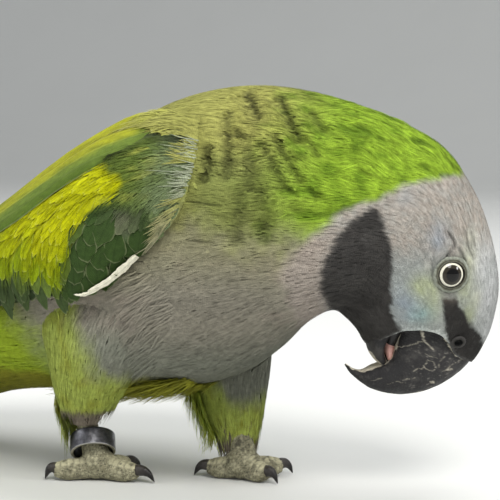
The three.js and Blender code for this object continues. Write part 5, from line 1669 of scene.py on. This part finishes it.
def flesh_material(name, roughness, vein):
    """Moist flesh in the piece's own colour, mottled with a second one."""
    s = Shader(name, Roughness=roughness)
    fine = s.noise(1800.0, 3.0)
    s.set("Base Color", s.mix(s.ramp(fine, 0.35, 0.7, 0.0, 0.4), s.attribute("Col"), colour4(vein)))
    s.bump(fine, 0.4, 0.0002)
    return s.material


bill_piece("tongue_tip", TONGUE, 30, 36, "tongue_flesh",
           flesh_material("tongue_flesh", 0.4, linear(176, 120, 110)),
           lambda points, s, z, a: mix(linear(222, 172, 160), linear(190, 130, 120),
                                       ramp(noise(points, 1.0, 37), 0, 1)), "tongue")
# The gape is a near-black sheet in the gap between the mandibles: painted shade inside the mouth.
bill_piece("gape", GAPE, 24, 36, "tongue_flesh", flesh_material("gape_painted_shade", 0.5, linear(24, 18, 18)),
           lambda points, s, z, a: linear(14, 11, 11) + 0 * points)

# ---- Eyes ------------------------------------------------


def eye_material():
    """A clear wet eye: black pupil, a cream iris with fine spokes, and a dark rim round it."""
    s = Shader("eye_wet", Roughness=0.03, IOR=1.36)
    at = s.node("ShaderNodeSeparateXYZ", {0: s.attribute("Grain", "Vector")})
    radial, turned = at.outputs[0], at.outputs[1]
    spokes = s.math("SINE", s.math("ADD", s.math("MULTIPLY", turned, 46.0),
                                   s.math("MULTIPLY", s.noise(1500.0, 2.0), 9.0)))
    iris = s.mix(s.ramp(spokes, -1, 1, 0.0, 0.35), colour4(linear(234, 231, 214)), colour4(linear(190, 184, 160)))
    iris = s.mix(s.ramp(radial, 0.00226, 0.0024), colour4(linear(44, 40, 32)), iris)
    iris = s.mix(s.ramp(radial, 0.0014, 0.00165), colour4(linear(6, 5, 5)), iris)
    s.set("Base Color", s.mix(s.ramp(radial, 0.00278, 0.00288), iris, colour4(linear(24, 22, 18))))
    return s.material


EYE_WET = eye_material()
LID = linear(94, 94, 80)
EYE_LEAN = 0.85                 # how far the eyes look ahead, as a share of the face's own slant


def make_eye(name, side):
    """An eyeball whose front bulges a little: a sphere round the eye's own axis."""
    centre, out, ahead, up = eye_frame(side, EYE_LEAN)
    polar, turned = np.meshgrid(np.linspace(0.004, np.pi - 0.004, 110), circle(96), indexing="ij")
    radius = EYE_RADIUS - 0.1 + 0.18 * bell(polar, 0.42)
    rim = np.sin(polar)[..., None] * (np.cos(turned)[..., None] * ahead + np.sin(turned)[..., None] * up)
    points = centre + radius[..., None] * (np.cos(polar)[..., None] * out + rim)
    quads, places = closed(points, turned / (2 * np.pi) + 0.5, polar / np.pi)
    grain = np.stack([EYE_RADIUS * np.sin(polar) * MM + np.where(polar > 1.6, 1, 0), turned, 0 * turned], -1)
    dress(build(f"eyeball_{name}", points, quads, "eye_wet", places, Grain=grain), EYE_WET, f"eye_{name}")


LID_PROFILE = np.array([(2.86, 3.66), (2.98, 3.84), (3.2, 3.86), (3.42, 3.68), (3.62, 3.66), (3.85, 3.52),
                        (4.05, 3.42), (4.35, 3.1), (4.7, 2.5), (4.9, 1.9), (4.2, 1.6), (3.3, 2.6)])


def make_lids(name, side):
    """A ring of bare beaded skin round the eye: a profile of distance from the eye's axis and
    height along it, carried round, a little longer fore and aft than tall."""
    centre, out, ahead, up = eye_frame(side, EYE_LEAN)
    turned = circle(120)[:, None]
    r, h = carried(LID_PROFILE, 48)
    stretch = 1 + 0.035 * np.cos(2 * turned)
    beads = 0.05 * np.cos(turned * 34) * bell(r - 3.1, 0.22)
    beads = beads + 0.045 * np.cos(turned * 27 + 1) * bell(r - 3.8, 0.25)
    corner = 0.18 * bell(np.abs(turned) - np.pi, 0.25) * bell(r - 3.0, 0.3)
    around = np.cos(turned)[..., None] * ahead + np.sin(turned)[..., None] * up
    points = centre + (r * stretch)[..., None] * around + (h + beads - corner)[..., None] * out
    quads, places = looped(points)
    colour = mix(LID, linear(30, 28, 22), ramp(3.2 - r, 0, 0.2))
    colour = mix(colour, linear(50, 48, 38), 0.85 * bell(r - 3.45, 0.14))
    colour = mix(colour, linear(136, 140, 128), ramp(r + 0.25 * noise(points, 0.8, 67), 3.4, 4.0))
    colour = colour * (1 + 0.15 * noise(points, 0.6, 41))[..., None]
    dress(build(f"lids_{name}", points, quads, "foot_skin", places, Col=colour), SKIN)


NOSTRIL_PROFILE = np.array([(0.03, -0.8), (0.5, -0.75), (0.82, -0.3), (1.0, 0.1), (1.25, 0.12), (1.6, 0.04),
                            (1.9, -0.2), (1.2, -1.0), (0.03, -1.1)])


def make_nostril(name, side):
    """A raised ring round a dark hole in the cere: a profile of distance and height carried round
    the face's own normal."""
    t, a = np.meshgrid(np.linspace(ring(17), 1.0, 200), np.linspace(0.1, 3.0, 200) * side, indexing="ij")
    s, z, _ = unbend(body(t, a))
    k = np.unravel_index(np.argmin(np.hypot(s - NOSTRIL_AT[0], z - NOSTRIL_AT[1])), t.shape)
    _, _, out = tangents(body, t[k], a[k])
    centre = body(t[k], a[k]) + NOSTRIL_DEPTH * out
    ahead = unit(np.cross(out, [0.0, 0.0, 1.0]))
    up = np.cross(ahead, out)
    turned = circle(40)[:, None]
    r, h = carried(NOSTRIL_PROFILE, 30)
    around = np.cos(turned)[..., None] * ahead + 0.9 * np.sin(turned)[..., None] * up
    points = centre + np.maximum(r, 0.02)[None, :, None] * around + h[None, :, None] * out
    quads, places = looped(points)
    # Painted shade: the bottom of the hole is painted near black.
    colour = mix(linear(1, 1, 1), linear(42, 40, 37), ramp(r, 1.0, 1.15))
    colour = mix(colour, BLACK * 0.65, ramp(r, 1.3, 1.6)) * (1 + 0.15 * noise(points, 0.5, 43))[..., None]
    dress(build(f"nostril_{name}", points, quads, "foot_skin", places, Col=colour), SKIN)


for side_name, side_sign in SIDES.items():
    make_eye(side_name, side_sign)
    make_lids(side_name, side_sign)
    make_nostril(side_name, side_sign)

# ---- Claws and leg ring ----------------------------------


def make_claws(name):
    """A foot's curved claws: rods that narrow from the toe to a point at the floor."""
    foot = FEET[name]
    for number, (heading, reach, length) in enumerate(foot["toes"], 1):
        way = np.array([np.cos(np.radians(heading)), np.sin(np.radians(heading)), 0])
        base = np.array([*foot["ball"], 0]) + way * (reach + 0.6)
        path = [base + [0, 0, 2.9] - way * 1.2, base + [0, 0, 3.05] + way * length * 0.25,
                base + [0, 0, 2.3] + way * length * 0.68, base + [0, 0, 0.45] + way * length]
        points = rod(path, [1.3, 1.18, 0.72, 0.1], 34, 20, 1.1)
        t = np.linspace(0, 1, 34)[:, None] + np.zeros((34, 20))
        quads, places = closed(points)
        colour = mix(linear(58, 54, 50), linear(24, 22, 21), ramp(t, 0.1, 0.8))
        colour = colour * (1 + 0.2 * noise(points, 0.8, 42))[..., None]
        grain = np.stack([t * 0.4, 0 * t, 0 * t], -1)
        claw = build(f"nail_{name}_{number}", points, quads, "claw_horn", places, Col=colour, Grain=grain)
        dress(claw, CLAW_HORN, f"claw_{name}_{number}")


for side_name in SIDES:
    make_claws(side_name)


def ring_material():
    """Dull worn steel: darker clouds, fine scratches round the band, bright along its edges."""
    s = Shader("ring_metal", Metallic=1.0)
    clouds = s.noise(700.0, 4.0)
    at = s.node("ShaderNodeSeparateXYZ", {0: s.attribute("Grain", "Vector")})
    stretched = s.node("ShaderNodeCombineXYZ",
                       {0: s.math("MULTIPLY", at.outputs[0], 2.0),
                        1: s.math("MULTIPLY", at.outputs[1], 60.0)}).outputs[0]
    scratch = s.noise(9.0, 3.0, stretched)
    dark = s.mix(s.ramp(clouds, 0.35, 0.65), colour4(linear(104, 104, 108)), colour4(linear(66, 66, 70)))
    dark = s.mix(s.ramp(scratch, 0.56, 0.7, 0.0, 0.5), dark, colour4(linear(168, 168, 170)))
    s.set("Base Color", s.mix(s.math("MULTIPLY", at.outputs[2], 0.8), dark, colour4(linear(196, 195, 192))))
    s.set("Roughness", s.ramp(clouds, 0.3, 0.7, 0.28, 0.5))
    s.bump(scratch, 0.25, 0.00005)
    return s.material


def make_ring():
    """A plain band with rounded edges: a rounded oblong carried round a circle, then tilted,
    leaned and turned to hang askew on the foot."""
    inner, outer, half = 4.75, 5.5, 2.2
    a = np.linspace(0, 2 * np.pi, 160, endpoint=False)[:, None]
    b = np.linspace(0, 2 * np.pi, 56, endpoint=False)[None, :]
    box = lambda v, power: np.sign(v) * np.abs(v) ** power
    r = (inner + outer) / 2 + (outer - inner) / 2 * box(np.cos(b), 0.35)
    h = half * box(np.sin(b), 0.16)
    x, y, z = r * np.cos(a), r * np.sin(a), h + 0 * a
    tilt, lean, turn = np.radians([-37, -6, 28])
    y, z = y * np.cos(tilt) - z * np.sin(tilt), y * np.sin(tilt) + z * np.cos(tilt)
    x, z = x * np.cos(lean) + z * np.sin(lean), -x * np.sin(lean) + z * np.cos(lean)
    x, y = x * np.cos(turn) - y * np.sin(turn), x * np.sin(turn) + y * np.cos(turn)
    points = np.stack([x, y, z], -1) + [-15.2, -12.6, 8.4]
    quads, places = looped(points)
    wear = ramp(np.abs(h), half * 0.9, half) + 0 * a
    grain = np.stack([a + 0 * b, h / half + 0 * a, wear], -1)
    dress(build("band", points, quads, "ring_metal", places, Grain=grain), ring_material(), "leg_ring")


make_ring()

# ---- Stage -----------------------------------------------


def add_stage():
    """A pale floor that curves up far behind."""
    y = np.concatenate([np.linspace(-3000, 1500, 4), 1500 + 900 * np.sin(np.linspace(0.1, np.pi / 2, 16)),
                        [2400]])
    z = np.concatenate([np.zeros(4), 900 * (1 - np.cos(np.linspace(0.1, np.pi / 2, 16))), [3200]])
    x = np.array([-4000.0, 4000.0])
    grid = np.stack([x[None, :] + 0 * y[:, None], y[:, None] + 0 * x, z[:, None] + 0 * x], -1)
    corners = tube(len(y), 2, close=False)
    floor = build("floor", grid, corners[..., 0] * 2 + corners[..., 1], None)
    s = Shader("floor", Roughness=0.55)
    s.set("Base Color", s.mix(s.noise(6.0), colour4(linear(217, 218, 215)), colour4(linear(212, 213, 210))))
    floor.data.materials.append(s.material)
    world = bpy.data.worlds.new("world")
    world.use_nodes = True
    world.node_tree.nodes["Background"].inputs[0].default_value = (0.95, 0.97, 1.0, 1)
    world.node_tree.nodes["Background"].inputs[1].default_value = 0.5
    bpy.context.scene.world = world


add_stage()
